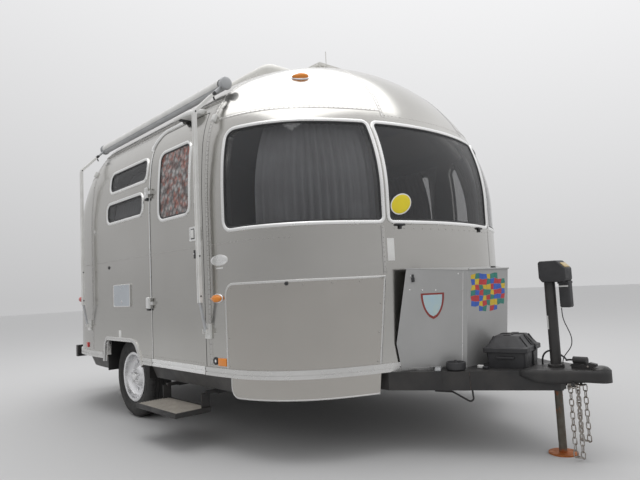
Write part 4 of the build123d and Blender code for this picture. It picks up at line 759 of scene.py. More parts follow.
def makeSeams():
    s = seamSet
    foot, narrow = bodyForm["foot"] + 0.03, s["capWidth"]
    for side in (-1, 1):
        # where the caps meet the walls, from the foot round over the roof edge, then the roof edge itself
        for seam in (frontSeam, rearSeam):
            seamStrip(*sideSkin(seam, evenSpan(foot, 2.45, 0.03), side), s["wallWidth"], s["wallRows"])
        seamStrip(*sideSkin(evenSpan(rearSeam, frontSeam, 0.05), bodyForm["roofSeam"], side))
        # rivets at the belt rail and over the foot, which the door breaks on its own side
        beltEnd, footEnds = (frontSeam, (rearSeam, frontSeam)) if side > 0 else (-2.36, (-2.53, -2.37))
        rivetRow(*sideSkin(evenSpan(rearSeam, beltEnd, 0.05), s["beltRow"], side))
        rivetRow(*sideSkin(evenSpan(*footEnds, 0.05), s["footRow"], side))
    for x in (-2.22, -2.86):
        seamStrip(*roofSkin(x, evenSpan(-0.93, 0.93, 0.03)))
    # caps: an arc seam each side of the middle sheet, one above the windows, and rivets at the belt
    for way, seam in ((1, frontSeam), (-1, rearSeam)):
        for side in (-1, 1):
            z = evenSpan(1.985, s["arcHigh"][-1], 0.03)
            arc = endSkin(side * np.interp(z, s["arcHigh"], s["arcOut"]), z, way)
            x = evenSpan(arc[0][-1, 0], seam, 0.03)[1:]
            over = roofSkin(x, side * np.linspace(s["arcOut"][-1], 0.29, len(x)))
            seamStrip(*joinRuns((arc, over)), narrow)
            seamStrip(*wrapEdge(2.035, seam, 0.41, side, 0.02, way), narrow)
            seamStrip(*endSkin(side * 0.564, np.linspace(1.015, 1.295, 12), way), narrow)
            rivetRow(*wrapEdge(s["beltRow"], seam, float(widthAt(0.75)[0]), side, 0.02, way))
        rivetRow(*endSkin(evenSpan(-0.41, 0.41, 0.03), 2.0, way))
    for z in (s["beltRow"], s["footRow"]):
        rivetRow(*sideSkin(evenSpan(-2.325, -1.64, 0.03), z, -1), body="door")
    makePiece("seam_strips_trailer", seamStrips, seamFinish)
    makePiece("seam_lines_trailer", seamLines, sealantFinish)


def setRivets():
    s = seamSet
    for body, rows in rivetSpots.items():
        spots, faces = joinRuns(rows)
        makePiece("rivets_" + body, rivetHeads(spots, faces, s["rivetRadius"], s["rivetHeight"]), rivetFinish, body,
                  merge=1e-6)
        print("rivets on", body + ":", len(spots))


makeSeams()

# rock guards: a bright edging on each, with screws
guardSet = {"rear": -1.394, "topZ": 1.003, "corner": 0.07, "footY": 0.640, "topY": 0.567, "edgeLow": 0.342,
            "railTop": 0.507, "proud": 0.006, "edging": 0.013, "apronRear": -1.362, "apronCorner": 0.06,
            "apronTop": 0.452, "apronProud": 0.004, "step": 0.014}


def makeGuardEdging():
    g = guardSet
    e, low, top, rear, apron = g["edging"], g["edgeLow"], g["topZ"], g["rear"], g["apronRear"]
    edging = [(-e * 0.15, -0.004), (e * 0.85, -0.004), (e * 0.85, 0.001), (e * 0.6, 0.0032), (e * 0.1, 0.0032),
              (-e * 0.15, 0.001)]
    lip = [(-0.003, -0.006), (0.006, -0.006), (0.006, 0.001), (0.0035, 0.0022), (-0.001, 0.0022), (-0.003, 0.0005)]
    bend = np.linspace(0, math.pi / 2, 8)
    rearward, upward = 1 - np.cos(bend), 1 - np.sin(bend)
    raised = lambda run, proud: (run[0] + run[1] * proud, run[1])
    shapes = []
    for side in (-1, 1):
        corner, proud = g["corner"], g["proud"]
        z = evenSpan(top, g["railTop"], 0.03)
        lean = g["footY"] + (g["topY"] - g["footY"]) * (z - low) / (top - low)
        run = joinRuns((
            sideSkin(rear, evenSpan(g["railTop"], top - corner, 0.03), side, proud),
            sideSkin(rear + corner * rearward, top - corner * upward, side, proud),
            raised(wrapEdge(top, rear + corner, g["topY"], side, g["step"]), proud),
            endSkin(side * lean, z, 1, proud)), 1)
        shapes.append(carryProfile(*run, [(-side * a, b) for a, b in edging]))
        rivetRow(*run, -side * 0.025, pitch=0.16, lift=0.0005)
        # bottom edge of the apron
        corner, proud = g["apronCorner"], g["apronProud"]
        run = joinRuns((
            sideSkin(apron, evenSpan(g["apronTop"], low + corner, 0.02), side, proud),
            sideSkin(apron + corner * rearward, low + corner * upward, side, proud),
            raised(wrapEdge(low, apron + corner, g["footY"], side, g["step"]), proud)), 1)
        shapes.append(carryProfile(*run, [(side * a, b) for a, b in lip]))
    makePiece("guard_edging", shapes, railFinish)
    print("rock guards edged")


makeGuardEdging()

# lamps: a teardrop lens on a chrome foot; height is the root of one minus the squared reach across a tapering outline
lampSize = {"length": 0.112, "height": 0.052, "proud": 0.034, "footGrow": 0.008, "footRise": 0.009}
# end, turn round the section, climb over the cap or height, colour
lampRows = [("front", 3.9, 0, 0.917, "amber"), ("front", 66.4, 57.1, 0, "amber"), ("rear", 18.9, 0, 0.946, "red"),
            ("rear", 66.4, 57.1, 0, "red")]
# end, height, length, breadth, how proud, colour
reflectorRows = [("front", 0.54, 0.08, 0.046, 0.01, "amber"), ("rear", 0.546, 0.056, 0.044, 0.009, "red")]


def sectionAt(turn):
    angle = math.radians(turn)
    if turn <= bodyForm["sideTurn"]:
        return sideAcross + sideRadius * math.cos(angle), sideRadius * math.sin(angle)
    if turn <= bodyForm["cornerTurn"]:
        return cornerAcross + cornerRadius * math.cos(angle), cornerUp + cornerRadius * math.sin(angle)
    return crownRadius * math.cos(angle), crownUp + crownRadius * math.sin(angle)


def skinSpot(end, turn, lift, z, side):
    across, up = sectionAt(turn)
    level, climb = math.cos(math.radians(lift)), math.sin(math.radians(lift))
    way, spring = (1, frontSpring) if end == "front" else (-1, rearSpring)
    place = Vector((spring + way * up * level, side * across, belt + up * climb if lift else z))
    sine, cosine = math.sin(math.radians(turn)), math.cos(math.radians(turn))
    normal = Vector((way * sine * level, side * cosine, sine * climb)).normalized()
    along = Vector((-normal.y, normal.x, 0)).normalized()
    return place, normal, along, normal.cross(along)


# outline of a teardrop: length from -1 to 1, half breadth widest a third of the way along and drawn to a point
def teardrop(spot, length, height, rise, low, lift, blunt, steps=40, rings=9):
    place, normal, along, up = (np.array(v) for v in spot)
    angle = np.linspace(0, 2 * math.pi, steps, endpoint=False)
    reach = np.cos(angle)
    breadth = np.sin(angle) * np.where(reach < 0, 1, (1 - np.clip(reach, 0, 1) ** 1.6 * 0.72))
    ring = np.linspace(0, math.pi / 2, rings)
    r = np.cos(ring)[:, None]
    h = np.sin(ring)[:, None] ** 0.85
    x = -blunt * reach[None] * r * length / 2
    y = breadth[None] * r * height / 2
    tilt = 1 - 0.35 * np.clip(reach[None] * r, 0, 1)
    z = lift + rise * h * tilt
    points = place + along * x[..., None] + up * y[..., None] + normal * z[..., None]
    base = points[0] - normal * low
    foot = np.repeat(base.mean(0)[None], steps, 0)
    return gridShape(np.concatenate([foot[None], base[None], points]), closeV=True)


def makeLamps():
    size, grow = lampSize, lampSize["footGrow"]
    length, height = size["length"], size["height"]
    lenses, feet = {"amber": [], "red": []}, []
    for end, turn, lift, z, colour in lampRows:
        for side in (1, -1):
            spot = skinSpot(end, turn, lift, z, side)
            blunt = 1 if (spot[2].x > 0) == (end == "front") else -1
            feet.append(teardrop(spot, length + grow, height + grow, size["footRise"], 0.012, 0.0, blunt))
            lens = teardrop(spot, length - 0.002, height - 0.004, size["proud"] - grow, 0.001, 0.0065, blunt)
            lenses[colour].append(lens)
    # flat reflectors: a rounded block on the skin, turned to face as the skin does
    for end, z, length, height, proud, colour in reflectorRows:
        for side in (1, -1):
            place, normal, along, up = skinSpot(end, 4.6, 0, z, side)
            box = softBox((-length / 2, -height / 2, -0.006), (length / 2, height / 2, proud), 0.004)
            lenses[colour].append(moved(box, (along, up, normal), place))
    # tail lamps: an upright pair of lenses in a bright bezel
    for side in (1, -1):
        place, normal, along, up = skinSpot("rear", 52, 0, 0.69, side)
        axes = (along, up, normal)
        feet.append(moved(softBox((-0.075, -0.115, -0.02), (0.075, 0.115, 0.016), 0.014), axes, place))
        for low, high, colour in ((-0.102, 0.012, "red"), (0.022, 0.102, "amber")):
            lenses[colour].append(moved(softBox((-0.062, low, 0.0), (0.062, high, 0.025), 0.01), axes, place))
    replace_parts(makePiece("lamp_feet", feet, chromeFinish), "lamps")
    for colour, finish in (("amber", amberLens), ("red", redLens)):
        makePiece("lamp_lenses_" + colour, lenses[colour], finish)
    print("lamps made")


makeLamps()

# tyre: a section carried round the axle, with grooves round the tread and notches across its shoulders
tyreSet = {"axleX": -2.934, "axleZ": 0.315, "middleY": 1.025, "radius": 0.315, "half": 0.0995, "bead": 0.19,
           "steps": 264, "notch": 0.0055, "groove": 0.0075}


def makeTyre(name, side, body):
    t = tyreSet
    half, bead, outer = t["half"], t["bead"], t["radius"]
    wall = [(bead, -0.072), (bead + 0.006, -0.08), (bead + 0.02, -0.0875), (bead + 0.034, -0.0935),
            (bead + 0.036, -0.0965), (bead + 0.05, -half), (bead + 0.07, -half), (bead + 0.072, -half + 0.002),
            (bead + 0.09, -half + 0.0035), (bead + 0.104, -0.089), (outer - 0.012, -0.0815), (outer - 0.005, -0.074)]
    grooves = (-0.045, -0.0155, 0.0155, 0.045)
    tread = []
    edge = -0.068
    for g in grooves:
        tread += [(0, edge), (0, g - 0.0052), (1, g - 0.0036), (1, g + 0.0036), (0, g + 0.0052)]
        edge = g + 0.0052
    tread += [(0, 0.068)]
    crown = lambda y: outer - 0.0035 * (y / 0.07) ** 2
    profile = wall + [(crown(y) - t["groove"] * cut, y) for cut, y in tread] + [(r, -y) for r, y in wall[::-1]]
    profile += [(bead - 0.002, 0.05), (bead - 0.002, -0.05)]
    profile = np.array(profile)
    steps = t["steps"]
    angle = np.linspace(0, 2 * math.pi, steps, endpoint=False)
    radius = np.repeat(profile[None, :, 0], steps, 0)
    y = np.repeat(profile[None, :, 1], steps, 0)
    onShoulder = (np.abs(profile[:, 1]) > 0.05) & (profile[:, 0] > outer - 0.02)
    onRib = (np.abs(profile[:, 1]) <= 0.05) & (profile[:, 0] > outer - 0.004)
    shoulderCut = (np.arange(steps) % 6 == 0)[:, None] & onShoulder[None]
    ribCut = ((np.arange(steps) + (profile[None, :, 1] * 900).astype(int).ravel()[:, None]).T % 4 == 0) & onRib[None]
    radius = radius - t["notch"] * shoulderCut - 0.0028 * ribCut
    points = np.stack([t["axleX"] + radius * np.cos(angle)[:, None], side * t["middleY"] + y,
                       t["axleZ"] + radius * np.sin(angle)[:, None]], -1)
    piece = makePiece(name + "_tread", gridShape(points, True, True), tyreRubber, body, smoothAngle=28)
    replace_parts(piece, name)


# alloy wheel: barrel and dish turned about the axle, round holes cut through the dish, then hub, cap and nuts
wheelSet = {"rim": 0.1895, "holes": 8, "holeRing": 0.112, "holeRadius": 0.0165, "nutRing": 0.057, "nuts": 5}


def makeWheel(name, side, body):
    t, w = tyreSet, wheelSet
    centre = (t["axleX"], side * t["middleY"], t["axleZ"])
    out = (0, side, 0)
    rim = w["rim"]
    dish = [(0.0, 0.068), (0.03, 0.068), (0.062, 0.066), (0.075, 0.058), (0.09, 0.044), (0.104, 0.034), (0.124, 0.031),
            (0.142, 0.036), (0.158, 0.05), (0.166, 0.066), (0.169, 0.078), (0.172, 0.0865), (0.18, 0.0905),
            (rim, 0.0905), (rim + 0.006, 0.087), (rim + 0.0065, 0.08), (rim - 0.001, 0.072), (rim - 0.001, -0.078),
            (rim + 0.0065, -0.082), (rim + 0.006, -0.088), (rim - 0.002, -0.09), (0.18, -0.088), (0.176, -0.06),
            (0.166, 0.0), (0.158, 0.02), (0.14, 0.014), (0.12, 0.011), (0.1, 0.014), (0.08, 0.03), (0.06, 0.04),
            (0.0, 0.042)]
    shape = turnProfile(dish, centre, out, 96)
    piece = makePiece(name + "_alloy", shape, wheelAlloy, body, smoothAngle=40)
    cutters = []
    for k in range(w["holes"]):
        turn = 2 * math.pi * (k + 0.5) / w["holes"]
        spot = (centre[0] + w["holeRing"] * math.cos(turn), centre[1], centre[2] + w["holeRing"] * math.sin(turn))
        cutters.append(turnProfile(pin(w["holeRadius"], -0.05, 0.1), spot, out, 28))
    cutter = makePiece(name + "_cutter", cutters, wheelAlloy, body)
    drill = piece.modifiers.new("drill", "BOOLEAN")
    drill.object, drill.operation, drill.solver = cutter, "DIFFERENCE", "EXACT"
    graph = bpy.context.evaluated_depsgraph_get()
    drilled = bpy.data.meshes.new_from_object(piece.evaluated_get(graph))
    piece.modifiers.clear()
    piece.data = drilled
    bpy.data.objects.remove(cutter)
    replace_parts(piece, name)
    cap = [(0.0, 0.09), (0.02, 0.0895), (0.031, 0.086), (0.036, 0.078), (0.038, 0.06), (0.038, 0.05), (0.0, 0.05)]
    bright = [turnProfile(cap, centre, out, 40)]
    nut = [(0.0, 0.088), (0.004, 0.0875), (0.0085, 0.083), (0.0105, 0.078), (0.0105, 0.058), (0.0, 0.058)]
    for k in range(w["nuts"]):
        turn = 2 * math.pi * k / w["nuts"] + 0.3
        spot = (centre[0] + w["nutRing"] * math.cos(turn), centre[1], centre[2] + w["nutRing"] * math.sin(turn))
        bright.append(turnProfile(nut, spot, out, 6))
    valve = (centre[0] + 0.15, centre[1], centre[2] + 0.03)
    bright.append(turnProfile(pin(0.004, 0.078, 0.05), valve, out, 10))
    makePiece(name + "_hub_cap", bright, chromeFinish, body, smoothAngle=30)


for side, end, body in ((1, "left", "wheel_left"), (-1, "right", "wheel_right")):
    makeTyre("tyre_" + end, side, body)
    makeWheel("rim_" + end, side, body)
print("wheels made")


# small fittings are made flat, with x along, y up and z out, and set on the skin
def setOn(shape, place, normal, turn=0.0):
    normal = np.array(normal, float)
    along = np.array([-normal[1], normal[0], 0.0])
    along /= np.linalg.norm(along)
    up = np.cross(normal, along)
    c, k = math.cos(math.radians(turn)), math.sin(math.radians(turn))
    return moved(shape, (along * c + up * k, up * c - along * k, normal), place)


# a rounded box set on a surface at a (place, normal)
def boxOn(low, high, radius, spot, axis=2):
    return setOn(softBox(low, high, radius, axis=axis), *spot)


def disc(radius, low, high, steps=28, edge=0.0015):
    return turnProfile([(0, low), (radius, low), (radius, high - edge), (radius - edge, high), (0, high)], (0, 0, 0),
                       (0, 0, 1), steps)


# an oval plate: a low dome whose outline is an ellipse
def ovalPlate(length, height, low, high, crown=0.001, steps=48):
    angle = np.linspace(0, 2 * math.pi, steps, endpoint=False)
    rows = [(0, low), (1, low), (1, high - 0.001), (0.97, high), (0.6, high + crown * 0.7), (0, high + crown)]
    points = [[(r * length / 2 * math.cos(a), r * height / 2 * math.sin(a), h) for a in angle] for r, h in rows]
    return gridShape(np.array(points), closeV=True)


# a line of straight runs with its corners rounded by arcs
def bentPath(points, radius, steps=6):
    points = [np.array(p, float) for p in points]
    out = [points[0]]
    for before, here, after in zip(points, points[1:], points[2:]):
        back, ahead = before - here, after - here
        backLength, aheadLength = np.linalg.norm(back), np.linalg.norm(ahead)
        back, ahead = back / backLength, ahead / aheadLength
        half = math.acos(np.clip(back @ ahead, -1, 1)) / 2
        cut = min(radius / math.tan(half), backLength * 0.45, aheadLength * 0.45)
        r = cut * math.tan(half)
        middle = here + (back + ahead) / np.linalg.norm(back + ahead) * (r / math.sin(half))
        first, last = here + back * cut - middle, here + ahead * cut - middle
        sweep = math.acos(np.clip(first @ last / (r * r), -1, 1))
        for t in np.linspace(0, 1, steps + 1):
            out.append(middle + (first * math.sin((1 - t) * sweep) + last * math.sin(t * sweep)) / math.sin(sweep))
    out.append(points[-1])
    return np.array(out)


def roundBar(width, height, radius, steps=3):
    bend = np.linspace(0, math.pi / 2, steps + 1)
    x, y = width / 2 - radius, height / 2 - radius
    return [(cx + radius * math.cos(a + k * math.pi / 2), cy + radius * math.sin(a + k * math.pi / 2))
            for k, (cx, cy) in enumerate(((x, y), (-x, y), (-x, -y), (x, -y))) for a in bend]


whitePaint = wornFinish("white_paint", (0.82, 0.82, 0.8), (0.72, 0.715, 0.69), 0.3, 0.45, 0.0, 10, 150, 0.00003)
greyPaint = wornFinish("grey_paint", (0.5, 0.51, 0.52), (0.42, 0.43, 0.44), 0.3, 0.45, 0.1, 10, 150, 0.00003)
hatchFinish = wornFinish("hatch_sheet", (0.62, 0.66, 0.7), (0.58, 0.615, 0.65), 0.26, 0.34, 0.85, 4, 40, 0.000001)
labelFinish = wornFinish("label_plain", (0.84, 0.84, 0.82), (0.76, 0.76, 0.74), 0.35, 0.5, 0.0, 12, 200, 0.00005)
yellowLabel = wornFinish("label_yellow", (0.88, 0.72, 0.02), (0.82, 0.66, 0.02), 0.35, 0.5, 0.0, 9, 200, 0.00005)

# entry: moulding over the door, lamp hood, door strip, latch and locks
entrySet = {"moulding": 0.029, "doorTop": 2.12, "doorRear": -2.342918, "corner": 0.11, "foot": 2.022, "hoodRear": -2.0,
            "hoodLength": 0.28, "hoodLow": 2.1385, "hoodHigh": 2.189, "hoodOuter": -1.193, "stripX": -2.3545}


def makeEntry():
    e = entrySet
    rear, top, radius = e["doorRear"] - e["moulding"], e["doorTop"] + e["moulding"], e["corner"] + e["moulding"]
    bend = np.linspace(math.pi, math.pi / 2, 16)
    x = np.concatenate([[rear] * 6, rear + radius + radius * np.cos(bend[1:]),
                        evenSpan(rear + radius + 0.02, -2.003, 0.02)])
    z = np.concatenate([np.linspace(e["foot"], top - radius, 6), top - radius + radius * np.sin(bend[1:])])
    z = np.concatenate([z, np.full(len(x) - len(z), top)])
    path, normal = sideSkin(x, z, -1)
    bead = [(-0.0105, -0.002), (0.0105, -0.002), (0.0105, 0.005), (0.0075, 0.0115), (0.003, 0.0138), (-0.003, 0.0138),
            (-0.0075, 0.0115), (-0.0105, 0.005)]
    shapes = [carryProfile(path, normal, bead),
              boxOn((-0.0105, -0.017, 0), (0.0105, 0.017, 0.0139), 0.003, sideSkin(rear, e["foot"] + 0.018, -1))]
    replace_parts(makePiece("entry_moulding", shapes, frameFinish), "entry_trim")
    # hood: an arch from the wall out and down to its lip, drawn in towards its front end, with a flat sole
    def hoodPlan(share):
        x = e["hoodRear"] + 0.001 + share * (e["hoodLength"] - 0.002)
        wallY = sideSkin(x, np.full_like(x, e["hoodLow"] + 0.006), -1)[0][..., 1] + 0.012
        return x, wallY, np.sqrt(np.clip(1 - np.clip((share - 0.45) / 0.55, 0, 1) ** 2.4, 0, 1))

    u, v = np.meshgrid(np.linspace(0, 1, 25), np.linspace(0, 1, 17), indexing="ij")
    x, wallY, taper = hoodPlan(u)
    y = wallY - (wallY - e["hoodOuter"] - 0.001) * taper * np.sin(v * math.pi / 2) ** 0.7
    rise = (e["hoodHigh"] - e["hoodLow"] - 0.002) * (0.55 + 0.45 * taper)
    z = e["hoodLow"] + rise * np.cos(v * math.pi / 2) ** 0.55
    hood = makePiece("lamp_hood", gridShape(np.stack([x, y, z], -1)), whitePaint, closed=False)
    thicken(hood, 0.003, 1.0)
    u, v = np.meshgrid(np.linspace(0.34, 1, 19), np.linspace(0, 1, 9), indexing="ij")
    x, wallY, taper = hoodPlan(u)
    y = wallY - (wallY - e["hoodOuter"] - 0.004) * taper * v
    sole = gridShape(np.stack([x, y, np.full_like(x, e["hoodLow"] + 0.0015)], -1))
    thicken(makePiece("lamp_hood_sole", sole, whitePaint, closed=False), 0.002, 0.0)
    # the lamp in the hood's open mouth is a real part; its black plastic is painted shade, standing for the dark inside
    # the shaded mouth
    lens = softBox((-1.985, -1.165, 2.1435), (-1.905, -1.075, 2.16), 0.008)
    makePiece("lamp_hood_lens_painted_shade", lens, blackPlastic)
    # bright strip down the rear of the door, then a thin seam to the rail
    strip = [(-0.005, -0.001), (0.005, -0.001), (0.005, 0.002), (0.0028, 0.0048), (-0.0028, 0.0048), (-0.005, 0.002)]
    thin = [(a * 0.35, b * 0.4) for a, b in strip]
    shapes = [carryProfile(*sideSkin(e["stripX"], evenSpan(0.885, 2.02, 0.03), -1), strip),
              carryProfile(*sideSkin(e["stripX"], evenSpan(0.507, 0.885, 0.03), -1), thin)]
    makePiece("door_strip", shapes, frameFinish)
    # hinge caps: a bright body behind each leaf with a dark foot
    spots = [sideSkin(-2.366, z, -1) for z in (0.897, 1.695)]
    makePiece("hinge_caps", [boxOn((-0.038, -0.036, 0.0), (0.0, 0.044, 0.0225), 0.006, spot) for spot in spots],
              frameFinish)
    makePiece("hinge_feet", [boxOn((-0.034, -0.052, 0.0), (0.006, -0.036, 0.019), 0.004, spot) for spot in spots],
              blackPlastic)
    # latch: a plate with a rim, a dark recess and a pale paddle
    spot = sideSkin(-1.701, 1.33, -1)
    x, z = roundedLoop(-1.7385, -1.6635, 1.2875, 1.3725, 0.008)
    rim = [(-0.0035, -0.002), (0.0035, -0.002), (0.0025, 0.0022), (-0.0025, 0.0022)]
    makePiece("latch_plate_face", [boxOn((-0.041, -0.046, 0.014), (0.041, 0.046, 0.0215), 0.004, spot),
                                   carryProfile(*sideSkin(x, z, -1, 0.0212), rim, True)],
              frameFinish, "door")
    makePiece("latch_recess", boxOn((-0.022, -0.034, 0.0185), (0.024, 0.034, 0.0222), 0.003, spot), blackPlastic,
              "door")
    makePiece("latch_paddle", boxOn((-0.014, -0.027, 0.02), (0.017, 0.027, 0.0262), 0.004, spot), whitePaint,
              "door")
    spot = sideSkin(-1.715, 1.205, -1)
    makePiece("door_lock", [boxOn((-0.013, -0.03, -0.001), (0.013, 0.024, 0.004), 0.006, spot),
                            setOn(disc(0.0105, 0, 0.009), *spot)], blackPlastic, "door")
    makePiece("door_lock_core", setOn(disc(0.0062, 0.006, 0.0102, 20, 0.0006), *spot), chromeFinish, "door")
    print("entry made")


makeEntry()

# hatches and small wall fittings; rows are rear x, front x, low z, high z, side
hatchRows = [(-3.020, -2.705, 0.875, 1.05, -1), (-2.840, -2.380, 0.80, 1.08, 1), (-2.150, -1.790, 0.66, 0.96, 1),
             (-3.456, -3.346, 0.72, 0.82, 1)]
hatchBead = [(-0.006, -0.009), (0.0005, -0.009), (0.0005, 0.0015), (-0.0012, 0.003), (-0.0045, 0.003), (-0.006, 0.0005)]


def makeWallFittings():
    faces, rims, locks, slats, dark, white = [], [], [], [], [], []
    for rear, front, low, high, side in hatchRows:
        rim = sideLoop(rear + 0.001, front - 0.001, low + 0.001, high - 0.001, 0.012, side, 0.008)
        rims.append(carryProfile(*rim, hatchBead, True))
        x, z = np.meshgrid(np.linspace(rear + 0.002, front - 0.002, 17), np.linspace(low + 0.002, high - 0.002, 13),
                           indexing="ij")
        faces.append(gridShape(sideSkin(x, z, side, 0.0089)[0]))
    for x, z, side in ((-2.862, 0.912, -1), (-1.86, 0.69, 1), (-2.08, 0.69, 1), (-3.401, 0.745, 1)):
        spot = sideSkin(x, z, side)
        locks.append(setOn(disc(0.0115, 0.007, 0.0125), *spot))
        dark.append(boxOn((-0.0012, -0.006, 0.012), (0.0012, 0.006, 0.0131), 0.0004, spot))
    for k in range(8):
        spot = sideSkin(-2.61, 0.835 + k * 0.03, 1)
        slats.append(boxOn((-0.205, -0.009, 0.0085), (0.205, 0.006, 0.0165), 0.0035, spot, 0))
    # small lock on the rear of the wall, round socket by the front seam, plain label over the arch
    spot = sideSkin(-3.125, 1.195, -1)
    dark += [setOn(disc(0.014, -0.001, 0.004), *spot), boxOn((-0.021, -0.003, 0), (0.021, 0.003, 0.0055), 0.002, spot)]
    spot = sideSkin(-1.514, 0.543, -1)
    ring = [(0.011, 0.0), (0.0235, 0.0), (0.0235, 0.004), (0.02, 0.0075), (0.0145, 0.0075), (0.011, 0.004),
            (0.011, 0.0)]
    dark.append(setOn(turnProfile(ring, (0, 0, 0), (0, 0, 1), 32), *spot))
    locks.append(setOn(disc(0.0105, -0.001, 0.0035), *spot))
    white.append(boxOn((-0.024, -0.028, -0.001), (0.024, 0.028, 0.0008), 0.004, sideSkin(-2.927, 0.662, -1)))
    # plain oval plate where the photograph has a badge, and the strip below it
    spot = sideSkin(-1.447, 1.146, -1)
    makePiece("oval_plate", setOn(ovalPlate(0.17, 0.066, -0.001, 0.0028, 0.002), *spot), frameFinish)
    white.append(boxOn((-0.034, -0.052, -0.001), (0.034, -0.044, 0.0009), 0.002, spot))
    makePiece("hatch_faces", faces, hatchFinish, closed=False, merge=1e-6)
    for name, shapes, finish, slot in (
            ("hatch_rims", rims, frameFinish, "rail_aluminium"), ("vent_slats", slats, whitePaint, "cover_white"),
            ("hatch_locks", locks, chromeFinish, "hinge_steel"), ("dark_fittings", dark, blackPlastic, "black_plastic"),
            ("plain_labels", white, labelFinish, "cover_white")):
        makePiece(name, shapes, finish)
    print("wall fittings made")


makeWallFittings()

# awning: arms of grooved section, a thin foot, a collar on the upper arm, and the roller with its cover
awningSet = {
    "arms": (-1.575, -3.575), "armOut": -1.240, "elbowOut": -1.275, "pivot": 0.720, "elbow": 0.905, "knee": 2.085,
    "rollerOut": -1.050, "rollerHigh": 2.308, "roller": 0.0385, "cover": 0.0398, "cap": 0.044,
}


def makeAwning():
    a = awningSet
    channel = [(-0.0155, -0.0105), (0.0155, -0.0105), (0.0158, 0.008), (0.013, 0.0108), (0.0045, 0.0108),
               (0.003, 0.0045), (-0.003, 0.0045), (-0.0045, 0.0108), (-0.013, 0.0108), (-0.0158, 0.008)]
    hub = [(0, -0.0158), (0.033, -0.0158), (0.0355, -0.012), (0.0355, 0.012), (0.033, 0.0158), (0, 0.0158)]
    outer, elbow, y, z = a["elbowOut"], a["elbow"], a["rollerOut"], a["rollerHigh"]
    knee, roller = np.array([outer, a["knee"]]), np.array([y, z])
    reach = roller - knee
    along = knee + reach * 0.62
    white, grey, black = [], [], []
    for x in a["arms"]:
        # a bar through points (y, z) with its corners rounded
        bar = lambda points, radius, section: carryProfile(
            *flatRun(bentPath([(x, y, z) for y, z in points], radius), (-1, 0, 0)), section)
        white.append(bar([(outer, elbow - 0.01), knee, along], 0.05, channel))
        grey += [bar([(a["armOut"], a["pivot"]), (outer, elbow), (outer, elbow + 0.2)], 0.03,
                     roundBar(0.018, 0.015, 0.004)),
                 bar([along - reach * 0.04, roller], 0.03, roundBar(0.024, 0.018, 0.005))]
        black += [bar([along - reach * 0.035, along + reach * 0.06], 0.03, roundBar(0.0318, 0.0218, 0.004)),
                  bar([along, along + [0.012, -0.034]], 0.01, roundBar(0.012, 0.008, 0.003))]
        for high, out in ((a["knee"], outer + 0.002), (elbow + 0.03, outer), (1.18, outer)):
            black.append(turnProfile(pin(0.0055, -0.0165, 0.0165), (x, out, high), (1, 0, 0), 16))
        grey.append(turnProfile(hub, (x, y, z), (1, 0, 0), 40))
    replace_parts(makePiece("arm_channels", white, whitePaint, "awning"), "awning_arms")
    makePiece("arm_inner_bars", grey, greyPaint, "awning")
    makePiece("arm_joints", black, blackPlastic, "awning")
    # cloth roll: a slow spiral in section, so that its last turn ends in a lip
    turn = np.linspace(0, 2 * math.pi, 48, endpoint=False)
    radius = a["roller"] - 0.0035 + 0.0022 * turn / (2 * math.pi)
    roll = [(r * math.cos(t), r * math.sin(t)) for r, t in zip(radius, turn - 0.6)]
    path = np.array([(x, y, z) for x in evenSpan(a["arms"][1] + 0.0168, a["arms"][0] - 0.0168, 0.25)])
    up = np.tile([0.0, 0, 1], (len(path), 1))
    cloth = makePiece("awning_roll", carryProfile(path, up, roll), awningCloth, "awning")
    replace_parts(cloth, "awning_roller")
    arc = np.radians(np.linspace(-28, 152, 32))
    shell = [(r * math.cos(t), r * math.sin(t)) for r, turns in ((a["cover"], arc), (a["cover"] - 0.0022, arc[::-1]))
             for t in turns]
    makePiece("awning_cover", carryProfile(path, up, shell), whitePaint, "awning")
    dome = [(0, 0), (0.0425, 0), (a["cap"] - 0.0005, 0.004), (a["cap"] - 0.0005, 0.014), (0.04, 0.021), (0.03, 0.0255),
            (0.015, 0.0275), (0, 0.028)]
    caps = [turnProfile(dome, (x + way * 0.0162, y, z), (way, 0, 0), 48) for x, way in zip(a["arms"], (1, -1))]
    makePiece("awning_end_caps", caps, greyPaint, "awning")
    # wall side: a clip by each knee and the rail that holds the cloth
    rail = [(-0.007, -0.002), (0.007, -0.002), (0.007, 0.003), (0.0035, 0.0078), (-0.0035, 0.0078), (-0.007, 0.003)]
    makePiece("awning_rail", carryProfile(*sideSkin(evenSpan(-3.49, -1.57, 0.04), 2.2, -1), rail), seamFinish)
    clips = [boxOn((-0.014, -0.024, -0.004), (0.014, 0.024, 0.024), 0.005, sideSkin(x + 0.038, 2.05, -1))
             for x in a["arms"]]
    makePiece("awning_wall_clips", clips, whitePaint)
    print("awning made")


makeAwning()


# front window fittings: sill screws, catches, oval and strip labels
def makeFrontFittings():
    catches = []
    for y in (-0.451, 0.358):
        spot = endSkin(y, 1.300, 1)
        catches += [boxOn((-0.034, -0.007, 0.003), (0.034, 0.007, 0.0165), 0.005, spot, 0),
                    boxOn((-0.009, -0.026, -0.001), (0.009, 0.003, 0.012), 0.004, spot)]
    for side in (-1, 1):
        path, normal = wrapEdge(0.984, guardSet["rear"] + 0.2, 0.8, side, guardSet["step"])
        middle = len(path) // 2
        catches.append(setOn(disc(0.010, 0.004, 0.017), path[middle], normal[middle]))
    for y in evenSpan(-0.49, 0.49, 0.07):
        rivetSpots["trailer"].append([part[None] for part in endSkin(y, 1.278, 1)])
    makePiece("window_catches", catches, blackPlastic)
    spot = endSkin(-0.432, 1.424, 1)
    makePiece("label_border", setOn(ovalPlate(0.162, 0.118, 0.0002, 0.0012, 0.0), *spot, 28), labelFinish)
    makePiece("label_oval", setOn(ovalPlate(0.150, 0.106, 0.0008, 0.0016, 0.0), *spot, 28), yellowLabel)
    strip = boxOn((-0.024, -0.066, -0.0005), (0.024, 0.066, 0.0008), 0.003, endSkin(-0.519, 1.155, 1))
    makePiece("label_strip", strip, labelFinish)
    print("front fittings made")


